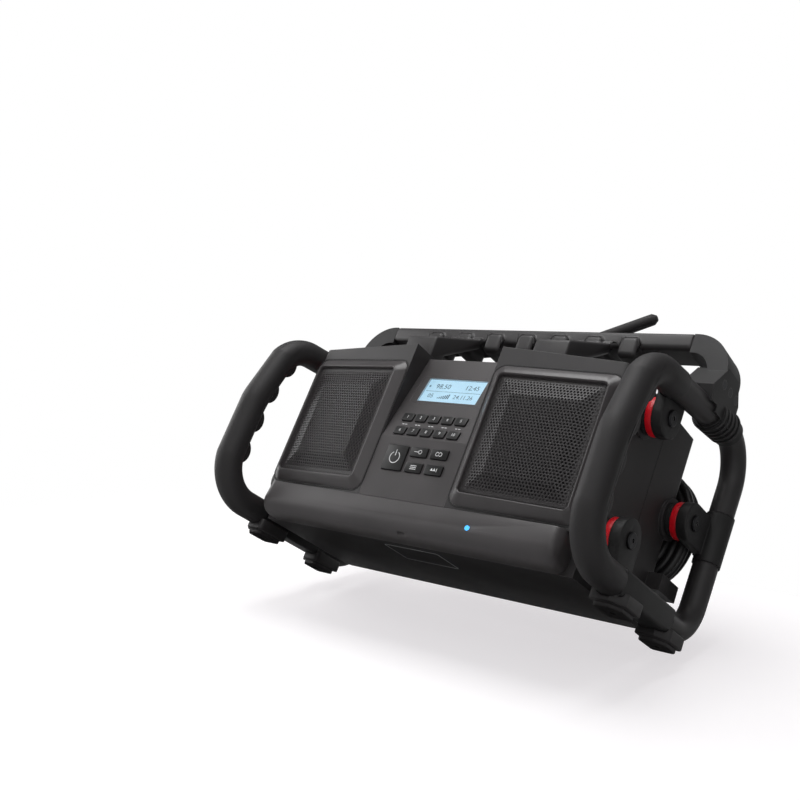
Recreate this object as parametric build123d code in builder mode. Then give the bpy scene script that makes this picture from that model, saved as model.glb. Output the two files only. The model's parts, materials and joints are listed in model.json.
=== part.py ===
"""Jobsite radio: a housing hung on rubber between two bent-tube side frames.

Millimetres, +X right, +Y to the back, +Z up. The origin is on the floor, under
the middle of the radio, which stands upright on its four feet.
Distances called "back" are measured to the back from the face of the housing.
"""
import os
from math import cos, pi, radians, sin, tan

from build123d import *

os.makedirs("parts", exist_ok=True)

# ---------------------------------------------------------------- housing
overall_depth = 230.0  # front of the grips to the back of the rear tubes
face_setback = 40.0  # front of the grips to the face of the housing
housing_width = 334.0
housing_depth = 145.0
housing_bottom = 14.0  # height of the flat underside above the floor
housing_top = 192.0
middle_drop = 4.0  # how much lower the roof is between the speaker pods
wall = 3.0
shell_split = 90.0  # depth of the front shell
edge_radius = 7.0
pod_start = 47.0  # half the width of the middle of the face
pod_yaw = 3.6  # the speaker pods turn outwards a little
pod_top_fall = 6.5  # fall of the roof from the middle to each side
seam_height = 44.5  # top of the nose panel
nose_half_width = 160.0
nose_depth = 22.0
nose_lean = 4.0  # how much further forward the nose is at its foot
nose_wall = 2.6

# ---------------------------------------------------------------- speakers
bezel_width = 118.0
bezel_height = 127.0
bezel_foot = 47.5  # height of the lower edge of the bezel
bezel_rise = 6.4
bezel_corner = 10.0
bezel_rim = 1.6
grille_width = 99.0
grille_height = 106.0
grille_corner = 4.0
grille_gap = 0.3
grille_sheet = 1.2
grille_depth = 2.5  # where the sheet is clamped, measured out from the pod
grille_ledge = 3.0
grille_slope = 15.0  # width of the sloping sides of the pressed sheet
grille_dish = 3.6
speaker_bore = 92.0
speaker_flange = 104.0
speaker_flange_thickness = 4.0
speaker_depth = 46.0
magnet_dia = 66.0
magnet_thickness = 16.0
cone_wall = 1.0
coil_dia = 26.0
surround_width = 8.0
surround_depth = 3.0
speaker_skin = 2.0

# ---------------------------------------------------------------- control panel
crease_height = 101.0  # below it the panel is upright, above it leans back
panel_lean = 13.7
panel_thickness = 3.0
panel_gap = 0.2
panel_ledge = 4.0
window_size = (80.0, 31.0)
window_mid = 54.0  # distance up the leaning panel from the crease
window_thickness = 1.6
window_gap = 0.1
window_ledge = 2.0
window_corner = 3.0
display_thickness = 4.0
display_gap = 0.2

# ---------------------------------------------------------------- keys
preset_key = (11.8, 8.2)
preset_pitch = 14.6
preset_columns = 5
preset_rows = (21.2, 6.4)  # distances up the leaning panel from the crease
power_key_size = (22.5, 23.2)
power_key_centre = (-21.8, 81.3)
function_key = (18.0, 8.8)
function_columns = (2.1, 23.8)
function_rows = (88.4, 74.2)
key_gap = 0.3
key_proud = 1.4
key_travel = 0.8
key_corner = 1.2
key_flange = 1.2  # how far the hidden flange reaches past the key
key_flange_thickness = 1.0
key_seat = 0.15  # play between the flange and the panel
board_thickness = 1.6
board_play = 0.15  # left behind a key that is pressed right in
board_post = 4.0
board_reach = 1.5  # board past the outer edges of its posts
board_post_x = 38.8
lean_post_rows = (4.0, 31.0)
upright_post_rows = (61.0, 96.0)

# ---------------------------------------------------------------- nose details
nose_round = 14.0  # from the front into the underside
nose_end_round = 9.0
nose_slot = (8.0, 3.0)
nose_slot_place = (12.0, 3.0)  # to the right, distance back
lamp_proud = 0.6
lamp_x = 78.0
lamp_height = 30.5
lamp_dia = 4.0
lamp_length = 6.0

# ---------------------------------------------------------------- side frames
frame_half_spacing = 193.0  # tube plane of each side frame
tube_dia = 22.0
tube_wall = 1.6
rail_height = 20.8
knee_height = 114.0
front_lean = 15.1  # how far the top front corner is behind the front tube
rear_top_height = 203.0
top_slope_angle = 7.3  # fall of the top tube towards the front
rear_lean_angle = 2.7  # the rear tube leans back as it rises
front_bottom_radius = 40.0
knee_radius = 150.0
front_top_radius = 38.0
rear_top_radius = 38.0
rear_bottom_radius = 30.0
rail_front = 32.0
rail_rear_gap = 57.1  # from the end of the rail to the rear tube
rail_width = 22.0
rail_depth = 21.0
rail_edge = 3.0
spigot_length = 13.0
grip_width = 24.4
grip_depth = 24.8
grip_corner = 11.5
grip_top_end = 36.0  # where the grip stops on the top tube
finger_pitch = 32.0
finger_first = 60.5
finger_count = 4
finger_radius = 13.0
finger_bump = 2.6
finger_width = 16.0

# ---------------------------------------------------------------- rubber mounts
upper_mount = (49.0, 160.8)  # distance back, height
front_mount = (44.5, 56.3)
rear_mount = (138.0, 109.2)
mount_boss = 3.0
mount_boss_dia = 36.0
rubber_thickness = 5.5
rubber_dia = 29.0
ring_thickness = 6.0
ring_dia = 32.0
bracket_thickness = 9.5
bracket_dia = 34.0
mount_screw_dia = 6.0
mount_screw_gap = 0.15
mount_head_dia = 13.5
mount_head_height = 2.2
mount_socket = 4.0
mount_socket_depth = 1.4
mount_screw_depth = 14.0
clamp_dia = 24.4
clamp_height = 46.0

# ---------------------------------------------------------------- feet
foot_size = (28.0, 37.0)
foot_height = 14.5
foot_front = 28.5
foot_pitch = 83.0
foot_corner = 4.0
foot_chamfer = 10.0  # across the outer front corner
foot_pad = (22.0, 30.0)
foot_pad_height = 4.0
foot_hole_dia = 4.0
foot_hole_depth = 2.5

# ---------------------------------------------------------------- carrying handle
handle_front = 85.5
handle_depth = 32.5
handle_valley = 243.5  # underside between the finger ridges
handle_top = 259.7
handle_half_length = 167.8
handle_edge = 4.5
lobe_pitch = 36.7
lobe_count = 7
lobe_width = 19.0
lobe_drop = 11.0
lobe_proud = 4.0
lobe_height = 20.5
lobe_edge = 5.0
arm_inner = 55.0
arm_outer = 90.0
arm_front = 28.0
arm_depth = 19.0
arm_knee = 216.0
arm_slope_top = 249.0
arm_thickness = 10.5
cap_outer = 206.0
cap_step = 0.9
cap_corner = 36.0
cap_band = 18.0
cap_inner = 178.0
cap_front = 70.0
cap_rear = 124.0
cap_round = 15.5
cap_edge = 3.0
cap_foot = 3.0  # lower edge of the cap, measured up from the axis of the tube
sleeve_dia = 26.0
sleeve_rib_dia = 30.0
sleeve_rib = 2.6
sleeve_rib_pitch = 7.4
sleeve_rib_count = 5
sleeve_start = 100.0
sleeve_end = 146.0
cap_screw_dia = 8.0
cap_screw_pitch = 13.7
cap_screw_height = 213.5
cap_screw_first = 89.0
cap_screw_length = 10.0

# ---------------------------------------------------------------- aerial
aerial_x = -100.0
aerial_back = 132.0
aerial_rise = 26.0  # of the pivot above the middle of the roof
aerial_angle = 23.7
aerial_length = 218.0
aerial_root_dia = 14.0
aerial_tip_dia = 11.0
aerial_pin_dia = 5.0
aerial_pin_gap = 0.05
aerial_tongue = 6.0
aerial_tongue_dia = 12.0
aerial_gap = 0.3
aerial_base_size = (28.0, 20.0)

# ---------------------------------------------------------------- rear door
door_x = -62.0
door_height = 102.0  # height of its middle
door_size = (112.0, 96.0)
door_gap = 0.4
door_thickness = 3.0
door_lip = 4.0
bay_depth = 30.0
hinge_dia = 8.0
hinge_pin_dia = 3.0
hinge_pin_gap = 0.05
hinge_length = 36.0
hinge_eye = 12.0
hinge_side_gap = 0.3
latch_size = (24.0, 9.0)
latch_thickness = 2.4

# ---------------------------------------------------------------- mains lead
cord_dia = 7.0
coil_x = 120.0
coil_height = 105.5
coil_layers = 3
coil_turns_wide = 3
coil_half_width = 59.0
coil_half_height = 60.0
coil_corner = 48.0
coil_wall_gap = 11.0
hook_width = 16.0
hook_gap = 0.3
hook_thickness = 7.0
hook_lip = 11.0
hook_lip_thickness = 3.0
cleat_size = (8.5, 14.0)
cleat_x = 175.8
cleat_height = 53.0
cleat_length = 20.0
gland_box = (8.0, 14.0)
gland_box_depth = 21.0
gland_length = 20.0
gland_dia = 12.0
gland_tip_dia = 8.4
plug_body = (32.0, 12.0, 34.0)
plug_relief = 14.0
plug_relief_dia = 11.0
plug_corner = 6.0
plug_pin_dia = 4.0
plug_pin_length = 19.0
plug_pin_pitch = 19.0

# ---------------------------------------------------------------- derived places
face_y = -overall_depth / 2 + face_setback
split_y = face_y + shell_split
back_y = face_y + housing_depth
half_width = housing_width / 2
front_tube_y = -(overall_depth - grip_depth) / 2
top_slope = radians(top_slope_angle)
rear_slope = radians(rear_lean_angle)
rear_bulge = (sin(rear_slope) + cos(top_slope)) / cos(rear_slope + top_slope) - 1
rear_tube_y = (overall_depth - tube_dia) / 2 + rear_top_radius * rear_bulge
tube_radius = tube_dia / 2
rubber_x = half_width + mount_boss
ring_x = rubber_x + rubber_thickness
bracket_x = ring_x + ring_thickness
bracket_face = bracket_x + bracket_thickness
lean = radians(panel_lean)
yaw = radians(pod_yaw)
panel_back = panel_thickness / cos(lean)
roof_middle = housing_top - middle_drop
aerial_pivot_height = roof_middle + aerial_rise
side_height = housing_top - pod_top_fall
front_corner_y = front_tube_y + front_lean
front_top_height = rear_top_height - (rear_tube_y - front_corner_y) * tan(top_slope)
coil_depth = coil_layers * cord_dia
coil_back = back_y + coil_wall_gap + coil_depth
hinge_y = back_y + hinge_dia / 2 + hinge_side_gap
hinge_height = door_height - door_size[1] / 2 - door_gap - hinge_dia / 2
board_back = panel_thickness + key_seat + key_flange_thickness + key_travel + board_play

lean_plane = Plane(
    origin=(0, face_y, crease_height), x_dir=(1, 0, 0), z_dir=(0, -cos(lean), sin(lean))
)
upright_plane = Plane(origin=(0, face_y, 0), x_dir=(1, 0, 0), z_dir=(0, -1, 0))
pod_plane = Plane(
    origin=(pod_start, face_y, 0), x_dir=(cos(yaw), sin(yaw), 0), z_dir=(sin(yaw), -cos(yaw), 0)
)
pod_length = (half_width - pod_start) / cos(yaw)
speaker_plane = pod_plane.shift_origin(
    pod_plane.from_local_coords(Vector(pod_length / 2, bezel_foot + bezel_height / 2, 0))
)


def from_face(back):
    """Y of a place given as its distance back from the face."""
    return face_y + back


def lean_y(height):
    """Y of the front of the leaning panel at a height."""
    return face_y + (height - crease_height) * tan(lean)


def roof_height(x):
    """Height of the roof of a speaker pod at x."""
    return housing_top - pod_top_fall * (abs(x) - pod_start) / (half_width - pod_start)


def tube_height(y):
    """Height of the axis of the sloping top tube at y."""
    return rear_top_height - (rear_tube_y - y) * tan(top_slope)


def rear_tube_back(height):
    """Y of the axis of the rear tube at a height."""
    return rear_tube_y - (rear_top_height - height) * tan(rear_slope)


def save(solid, name):
    """Label a finished piece and write it as its own STEP file."""
    solid.label = name
    export_step(solid, f"parts/{name}.step")


def save_pair(solid, name):
    """Write a right-hand piece and its mirror image on the left."""
    save(solid, f"right_{name}")
    save(mirror(solid, about=Plane.YZ, mode=Mode.PRIVATE), f"left_{name}")


def housing_section(inset):
    """Cross-section of the housing, seen from the front, set in by a wall."""
    side = half_width - inset
    inner = pod_start + inset
    return [
        (-side, housing_bottom + inset),
        (-side, side_height - inset),
        (-inner, housing_top - inset),
        (-inner, roof_middle - inset),
        (inner, roof_middle - inset),
        (inner, housing_top - inset),
        (side, side_height - inset),
        (side, housing_bottom + inset),
    ]


def pod_front(inset):
    """Plan of everything in front of the face, set back by a wall."""
    edge = half_width + 1
    reach = face_y + inset + (edge - pod_start) * tan(yaw)
    return [
        (-edge, face_y - 5),
        (-edge, reach),
        (-pod_start, face_y + inset),
        (pod_start, face_y + inset),
        (edge, reach),
        (edge, face_y - 5),
    ]


def frame_points():
    """Corners of the side frame in the YZ plane, from rail end to rail end."""
    return [
        (rear_tube_y - rail_rear_gap, rail_height),
        (rear_tube_back(rail_height), rail_height),
        (rear_tube_y, rear_top_height),
        (front_corner_y, front_top_height),
        (front_tube_y, knee_height),
        (front_tube_y, rail_height),
        (from_face(rail_front), rail_height),
    ]


frame_radii = [
    rear_bottom_radius, rear_top_radius, front_top_radius, knee_radius, front_bottom_radius
]
frame_plane = Plane.YZ.offset(frame_half_spacing)


def solid_path(radius):
    """Solid bar of a round radius along the whole side frame."""
    with BuildPart(mode=Mode.PRIVATE) as bar:
        with BuildLine(frame_plane) as route:
            FilletPolyline(*frame_points(), radius=frame_radii)
        with BuildSketch(Plane(origin=route.line @ 0, z_dir=route.line % 0)):
            Circle(radius)
        sweep(path=route.line)
    return bar.part


frame_bar = solid_path(tube_radius)

# ---------------------------------------------------------------- front housing
with BuildPart() as front_housing:
    with BuildSketch(Plane.XZ.offset(-split_y)):
        with BuildLine():
            Polyline(housing_section(0), close=True)
        make_face()
    extrude(amount=shell_split)
    with BuildSketch(Plane.XY.offset(housing_bottom - 1)):
        with BuildLine():
            Polyline(pod_front(0), close=True)
        make_face()
    extrude(amount=housing_top, mode=Mode.SUBTRACT)
    outer_corners = front_housing.edges().filter_by(Axis.Z).group_by(Axis.Y)[0:2]
    pod_corners = [e for group in outer_corners for e in group if abs(e.center().X) > pod_start + 1]
    fillet(pod_corners, edge_radius)
    with BuildSketch(Plane.XY.offset(housing_bottom)):
        with Locations((0, from_face(nose_depth / 2 - 5))):
            Rectangle(housing_width + 2, nose_depth + 10)
    extrude(amount=seam_height - housing_bottom, mode=Mode.SUBTRACT)
    # the hollow, in front above the nose and behind it down to the floor
    with BuildPart(mode=Mode.PRIVATE) as hollow:
        with BuildSketch(Plane.XZ.offset(-split_y)):
            with BuildLine():
                Polyline(housing_section(wall), close=True)
            make_face()
        extrude(amount=shell_split)
        with BuildSketch(Plane.XY):
            with BuildLine():
                Polyline(pod_front(wall), close=True)
            make_face()
        extrude(amount=housing_top, mode=Mode.SUBTRACT)
        with BuildSketch(Plane.XY):
            with Locations((0, from_face(nose_depth / 2 + wall / 2 - 5))):
                Rectangle(housing_width, nose_depth + wall + 10)
        extrude(amount=seam_height + wall, mode=Mode.SUBTRACT)
    add(hollow.part, mode=Mode.SUBTRACT)
    # cheeks beside the control panel, with a ledge behind its edges
    for side in (1, -1):
        with BuildSketch(Plane.YZ.offset(side * (pod_start + wall / 2))):
            with BuildLine():
                Polyline(
                    [
                        (face_y + 1, seam_height + wall),
                        (face_y + 1, crease_height),
                        (face_y + 1, housing_top - 1),
                        (lean_y(roof_middle) + panel_back + wall, housing_top - 1),
                        (lean_y(roof_middle) + panel_back + wall, roof_middle - wall),
                        (face_y + panel_back + wall, crease_height),
                        (face_y + panel_back + wall, seam_height + wall),
                    ],
                    close=True,
                )
            make_face()
        extrude(amount=wall / 2, both=True)
        with BuildSketch(Plane.YZ.offset(side * (pod_start - panel_ledge / 2))):
            with BuildLine():
                Polyline(
                    [
                        (face_y + panel_back, seam_height),
                        (face_y + panel_back, crease_height),
                        (lean_y(roof_middle - wall / 2) + panel_back, roof_middle - wall / 2),
                        (lean_y(roof_middle) + panel_back + wall, roof_middle - wall / 2),
                        (face_y + panel_back + wall, crease_height),
                        (face_y + panel_back + wall, seam_height),
                    ],
                    close=True,
                )
            make_face()
        extrude(amount=panel_ledge / 2 + 0.5, both=True)
    with BuildSketch(Plane.YZ):
        with BuildLine():
            Polyline(
                [
                    (face_y - 5, seam_height - 1),
                    (face_y - 5, housing_top + 1),
                    (lean_y(housing_top + 1) + panel_back, housing_top + 1),
                    (face_y + panel_back, crease_height),
                    (face_y + panel_back, seam_height - 1),
                ],
                close=True,
            )
        make_face()
    extrude(amount=pod_start, both=True, mode=Mode.SUBTRACT)
    # speaker openings
    for hand in (1, -1):
        with BuildPart(mode=Mode.PRIVATE) as bore:
            with BuildSketch(speaker_plane):
                Circle(speaker_bore / 2)
            extrude(amount=wall * 2, both=True)
        hole = bore.part if hand > 0 else mirror(bore.part, about=Plane.YZ, mode=Mode.PRIVATE)
        add(hole, mode=Mode.SUBTRACT)
    # bosses for the rubber mounts
    for back, height in (upper_mount, front_mount):
        for side in (1, -1):
            with Locations(Location((side * half_width, from_face(back), height), (0, side * 90, 0))):
                Cylinder(
                    mount_boss_dia / 2, mount_boss, align=(Align.CENTER, Align.CENTER, Align.MIN)
                )
                Cylinder(
                    mount_screw_dia + 1,
                    mount_screw_depth,
                    align=(Align.CENTER, Align.CENTER, Align.MAX),
                )
                Cylinder(mount_screw_dia / 2, 3 * mount_screw_depth, mode=Mode.SUBTRACT)
save(front_housing.part, "front_housing")

# ---------------------------------------------------------------- rear housing
with BuildPart() as rear_housing:
    with BuildSketch(Plane.XZ.offset(-split_y)):
        with BuildLine():
            Polyline(housing_section(0), close=True)
        make_face()
    extrude(amount=split_y - back_y)
    upright = rear_housing.edges().filter_by(Axis.Z).group_by(Axis.Y)[-1]
    fillet([e for e in upright if abs(e.center().X) > pod_start + 1], edge_radius)
    with BuildSketch(Plane.XZ.offset(-split_y)):
        with BuildLine():
            Polyline(housing_section(wall), close=True)
        make_face()
    extrude(amount=split_y - back_y + wall, mode=Mode.SUBTRACT)
    for side in (1, -1):
        place = (side * half_width, from_face(rear_mount[0]), rear_mount[1])
        with Locations(Location(place, (0, side * 90, 0))):
            Cylinder(mount_boss_dia / 2, mount_boss, align=(Align.CENTER, Align.CENTER, Align.MIN))
            Cylinder(
                mount_screw_dia + 1,
                mount_screw_depth,
                align=(Align.CENTER, Align.CENTER, Align.MAX),
            )
            Cylinder(mount_screw_dia / 2, 3 * mount_screw_depth, mode=Mode.SUBTRACT)
    # battery bay, open at the back, with a rebate for its door
    bay_back = (Align.CENTER, Align.MAX, Align.CENTER)
    with Locations((door_x, back_y, door_height)):
        Box(door_size[0] + 2 * wall, bay_depth, door_size[1] + 2 * wall, align=bay_back)
        Box(
            door_size[0] + 2 * door_gap,
            door_thickness,
            door_size[1] + 2 * door_gap,
            align=bay_back,
            mode=Mode.SUBTRACT,
        )
        Box(
            door_size[0] - 2 * door_lip,
            bay_depth - wall,
            door_size[1] - 2 * door_lip,
            align=bay_back,
            mode=Mode.SUBTRACT,
        )
    # hinge eyes below the door
    for side in (1, -1):
        eye_x = door_x + side * (hinge_length / 2 + hinge_side_gap + hinge_eye / 2)
        with Locations((eye_x, hinge_y, hinge_height)):
            Box(
                hinge_eye,
                hinge_y - back_y,
                hinge_dia,
                align=(Align.CENTER, Align.MAX, Align.CENTER),
            )
        with Locations(Location((eye_x, hinge_y, hinge_height), (0, 90, 0))):
            Cylinder(hinge_dia / 2, hinge_eye)
            Cylinder(hinge_pin_dia / 2, hinge_eye, mode=Mode.SUBTRACT)
    # hooks that the lead is wound on, and the cleat beside it
    for side in (1, -1):
        inner = coil_height + side * (coil_half_height - coil_turns_wide * cord_dia)
        with Locations((coil_x, back_y, inner - side * hook_thickness / 2)):
            Box(
                hook_width,
                coil_wall_gap + coil_depth + hook_gap,
                hook_thickness,
                align=(Align.CENTER, Align.MIN, Align.CENTER),
            )
        lip = hook_thickness + hook_lip
        with Locations((coil_x, coil_back + hook_gap, inner + side * (lip / 2 - hook_thickness))):
            Box(
                hook_width,
                hook_lip_thickness,
                lip,
                align=(Align.CENTER, Align.MIN, Align.CENTER),
            )
    with Locations((cleat_x - 4, back_y - cleat_size[1] / 2, cleat_height)):
        Box(2 * cleat_size[0], cleat_size[1], cleat_size[1])
    with Locations((cleat_x, back_y, cleat_height)):
        Box(
            cleat_size[0],
            cleat_length,
            cleat_size[1],
            align=(Align.CENTER, Align.MIN, Align.CENTER),
        )
save(rear_housing.part, "rear_housing")

# ---------------------------------------------------------------- nose panel
nose_back = from_face(nose_depth)


def nose_outline(inset, back):
    """Section of the nose, set in by a wall and running back to a place."""
    return [
        (face_y + inset, seam_height - inset),
        (face_y - nose_lean + inset, housing_bottom + inset),
        (back, housing_bottom + inset),
        (back, seam_height - inset),
    ]


with BuildPart() as nose_panel:
    with BuildSketch(Plane.YZ) as outline:
        with BuildLine():
            Polyline(nose_outline(0, nose_back), close=True)
        make_face()
        fillet(outline.vertices().sort_by(lambda corner: corner.Y + corner.Z)[0], nose_round)
    extrude(amount=nose_half_width, both=True)
    ends = nose_panel.faces().filter_by(Axis.X).edges()
    fillet(ends.filter_by_position(Axis.Y, face_y - nose_lean - 1, face_y), nose_end_round)
    with BuildSketch(Plane.YZ) as outline:
        with BuildLine():
            Polyline(nose_outline(nose_wall, nose_back + 1), close=True)
        make_face()
        fillet(
            outline.vertices().sort_by(lambda corner: corner.Y + corner.Z)[0],
            nose_round - nose_wall,
        )
    extrude(amount=nose_half_width - nose_end_round, both=True, mode=Mode.SUBTRACT)
    with Locations(Location((lamp_x, face_y, lamp_height), (90, 0, 0))):
        Cylinder(lamp_dia / 2, nose_depth, mode=Mode.SUBTRACT)
    with Locations((nose_slot_place[0], from_face(nose_slot_place[1]), housing_bottom)):
        Box(*nose_slot, 4 * nose_wall, mode=Mode.SUBTRACT)
save(nose_panel.part, "nose_panel")

with BuildPart() as lamp:
    nose_rise = (seam_height - lamp_height) / (seam_height - housing_bottom)
    lamp_front = face_y - nose_lean * nose_rise - lamp_proud
    with Locations(Location((lamp_x, lamp_front, lamp_height), (90, 0, 0))):
        Cylinder(lamp_dia / 2, lamp_length, align=(Align.CENTER, Align.CENTER, Align.MAX))
save(lamp.part, "status_lamp")

# ---------------------------------------------------------------- control panel
lean_posts = [(side * board_post_x, up) for side in (1, -1) for up in lean_post_rows]
upright_posts = [(side * board_post_x, up) for side in (1, -1) for up in upright_post_rows]
preset_places = [
    ((column - (preset_columns - 1) / 2) * preset_pitch, row)
    for row in preset_rows
    for column in range(preset_columns)
]
function_places = [(x, height) for height in function_rows for x in function_columns]
panel_width = 2 * (pod_start - panel_gap)


key_groups = [
    (lean_plane, preset_places, preset_key, "preset_key"),
    (upright_plane, [power_key_centre], power_key_size, "power_key"),
    (upright_plane, function_places, function_key, "function_key"),
]

with BuildPart() as centre_panel:
    with BuildSketch(Plane.YZ):
        with BuildLine():
            Polyline(
                [
                    (face_y, seam_height),
                    (face_y, crease_height),
                    (lean_y(roof_middle), roof_middle),
                    (lean_y(roof_middle) + panel_back, roof_middle),
                    (face_y + panel_back, crease_height),
                    (face_y + panel_back, seam_height),
                ],
                close=True,
            )
        make_face()
    extrude(amount=panel_width / 2, both=True)
    with BuildSketch(lean_plane):
        with Locations((0, window_mid)):
            RectangleRounded(
                window_size[0] + 2 * window_gap, window_size[1] + 2 * window_gap, window_corner
            )
    extrude(amount=-window_thickness, mode=Mode.SUBTRACT)
    with BuildSketch(lean_plane):
        with Locations((0, window_mid)):
            Rectangle(window_size[0] - 2 * window_ledge, window_size[1] - 2 * window_ledge)
    extrude(amount=-2 * panel_thickness, mode=Mode.SUBTRACT)
    for plane, places, size, _ in key_groups:
        with BuildSketch(plane):
            with Locations(*places):
                opening = [side + 2 * key_gap for side in size]
                RectangleRounded(*opening, key_corner + key_gap)
        extrude(amount=2 * panel_thickness, both=True, mode=Mode.SUBTRACT)
    for plane, posts in ((lean_plane, lean_posts), (upright_plane, upright_posts)):
        with BuildSketch(plane.offset(-panel_thickness + 0.2)):
            with Locations(*posts):
                Circle(board_post / 2)
        extrude(amount=-(board_back - panel_thickness + 0.2))
save(centre_panel.part, "centre_panel")

with BuildPart() as display_window:
    with BuildSketch(lean_plane):
        with Locations((0, window_mid)):
            RectangleRounded(*window_size, window_corner - window_gap)
    extrude(amount=-window_thickness)
save(display_window.part, "display_window")

with BuildPart() as display_module:
    with BuildSketch(lean_plane.offset(-window_thickness)):
        with Locations((0, window_mid)):
            inside = 2 * (window_ledge + display_gap)
            Rectangle(window_size[0] - inside, window_size[1] - inside)
    extrude(amount=-display_thickness)
save(display_module.part, "display_module")


def board(plane, places, size, name):
    """Circuit board that carries a group of keys and rests on the panel posts."""
    reach_x = max(abs(x) for x, _ in places) + size[0]
    low = min(up for _, up in places) - size[1]
    high = max(up for _, up in places) + size[1]
    with BuildPart() as circuit:
        with BuildSketch(plane.offset(-board_back)):
            with Locations((0, (low + high) / 2)):
                Rectangle(2 * reach_x, high - low)
        extrude(amount=-board_thickness)
    save(circuit.part, name)


board(lean_plane, lean_posts, (board_post / 2 + board_reach,) * 2, "preset_board")
board(upright_plane, upright_posts, (board_post / 2 + board_reach,) * 2, "function_board")


# ---------------------------------------------------------------- keys
for plane, places, size, group in key_groups:
    for number, place in enumerate(places, start=1):
        with BuildPart() as key:
            with BuildSketch(plane.offset(-panel_thickness - key_seat)):
                with Locations(place):
                    Rectangle(size[0] + 2 * key_flange, size[1] + 2 * key_flange)
            extrude(amount=-key_flange_thickness)
            with BuildSketch(plane.offset(-panel_thickness - key_seat)):
                with Locations(place):
                    RectangleRounded(*size, key_corner)
            extrude(amount=panel_thickness + key_seat + key_proud)
        save(key.part, group if len(places) == 1 else f"{group}_{number}")

# ---------------------------------------------------------------- bezels and grilles
with BuildPart() as bezel:
    with BuildSketch(speaker_plane):
        RectangleRounded(bezel_width, bezel_height, bezel_corner)
    with BuildSketch(speaker_plane.offset(bezel_rise)):
        RectangleRounded(
            grille_width + 2 * bezel_rim,
            grille_height + 2 * bezel_rim,
            grille_corner + bezel_rim,
        )
    loft()
    with BuildSketch(speaker_plane.offset(grille_depth)):
        RectangleRounded(
            grille_width + 2 * grille_gap, grille_height + 2 * grille_gap, grille_corner
        )
    extrude(amount=bezel_rise, mode=Mode.SUBTRACT)
    with BuildSketch(speaker_plane):
        RectangleRounded(
            grille_width - 2 * grille_ledge, grille_height - 2 * grille_ledge, grille_corner
        )
    extrude(amount=bezel_rise, mode=Mode.SUBTRACT)
save_pair(bezel.part, "grille_bezel")


with BuildPart() as grille:
    with BuildSketch(speaker_plane.offset(grille_depth)):
        RectangleRounded(grille_width, grille_height, grille_corner)
    extrude(amount=grille_sheet)
    for start, mode in ((grille_depth + grille_sheet, Mode.ADD), (grille_depth, Mode.SUBTRACT)):
        for rise, edge in ((0, grille_ledge), (grille_dish, grille_ledge + grille_slope)):
            with BuildSketch(speaker_plane.offset(start + rise)):
                RectangleRounded(
                    grille_width - 2 * edge, grille_height - 2 * edge, grille_corner
                )
        loft(mode=mode)
save_pair(grille.part, "speaker_grille")

# ---------------------------------------------------------------- speakers
flange_back = speaker_plane.offset(-wall)
with BuildPart() as basket:
    with BuildSketch(flange_back):
        Circle(speaker_flange / 2)
    extrude(amount=-speaker_flange_thickness)
    with BuildSketch(flange_back.offset(-speaker_flange_thickness)):
        Circle(speaker_bore / 2 + speaker_skin)
    with BuildSketch(flange_back.offset(magnet_thickness - speaker_depth)):
        Circle(magnet_dia / 2)
    loft()
    with BuildSketch(flange_back):
        Circle(speaker_bore / 2)
    extrude(amount=-surround_depth, mode=Mode.SUBTRACT)
    with BuildSketch(flange_back.offset(-surround_depth)):
        Circle(speaker_bore / 2 - surround_width / 2)
    with BuildSketch(flange_back.offset(magnet_thickness - speaker_depth + speaker_skin)):
        Circle(magnet_dia / 2 - speaker_skin)
    loft(mode=Mode.SUBTRACT)
    with BuildSketch(flange_back.offset(magnet_thickness - speaker_depth)):
        Circle(magnet_dia / 2)
    extrude(amount=-magnet_thickness)
save_pair(basket.part, "speaker_basket")

cone_length = speaker_depth - magnet_thickness - speaker_skin
cone_plane = Plane(
    origin=speaker_plane.offset(-wall - cone_length).origin,
    x_dir=speaker_plane.x_dir,
    z_dir=-speaker_plane.y_dir,
)
ledge = cone_length - surround_depth
roll = speaker_bore / 2 - surround_width
with BuildPart() as cone:
    with BuildSketch(cone_plane):
        with BuildLine():
            Polyline(
                [
                    (0, 0),
                    (coil_dia / 2, 0),
                    (roll, ledge - 4 * cone_wall),
                    (roll + surround_width / 3, ledge),
                    (speaker_bore / 2, ledge),
                    (speaker_bore / 2, ledge + cone_wall),
                    (roll + surround_width / 4, ledge + cone_wall),
                    (roll - cone_wall, ledge - 3 * cone_wall),
                    (coil_dia / 2 - cone_wall, 1.5 * cone_wall),
                    (0, 1.5 * cone_wall),
                ],
                close=True,
            )
        make_face()
    revolve(axis=Axis(cone_plane.origin, speaker_plane.z_dir))
save_pair(cone.part, "speaker_cone")

# ---------------------------------------------------------------- side frames
with BuildPart() as frame_tube:
    with BuildLine(frame_plane) as route:
        FilletPolyline(*frame_points(), radius=frame_radii)
    with BuildSketch(Plane(origin=route.line @ 0, z_dir=route.line % 0)):
        Circle(tube_radius)
        Circle(tube_radius - tube_wall, mode=Mode.SUBTRACT)
    sweep(path=route.line)
save_pair(frame_tube.part, "frame_tube")

grip_top_y = from_face(grip_top_end)
with BuildPart() as grip:
    with BuildLine(frame_plane) as hold:
        FilletPolyline(
            (grip_top_y, tube_height(grip_top_y)),
            *frame_points()[3:],
            radius=frame_radii[2:],
        )
    with BuildSketch(Plane(origin=hold.line @ 0, x_dir=(1, 0, 0), z_dir=hold.line % 0)):
        RectangleRounded(grip_width, grip_depth, grip_corner)
    sweep(path=hold.line)
    for number in range(finger_count):
        height = finger_first + number * finger_pitch
        lean_back = max(height - knee_height, 0) * front_lean / (front_top_height - knee_height)
        bump_y = front_tube_y + lean_back + grip_depth / 2 + finger_bump - finger_radius
        with Locations(Location((frame_half_spacing, bump_y, height), (0, 90, 0))):
            Cylinder(finger_radius, finger_width)
    add(frame_bar, mode=Mode.SUBTRACT)
save_pair(grip.part, "grip")

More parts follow.
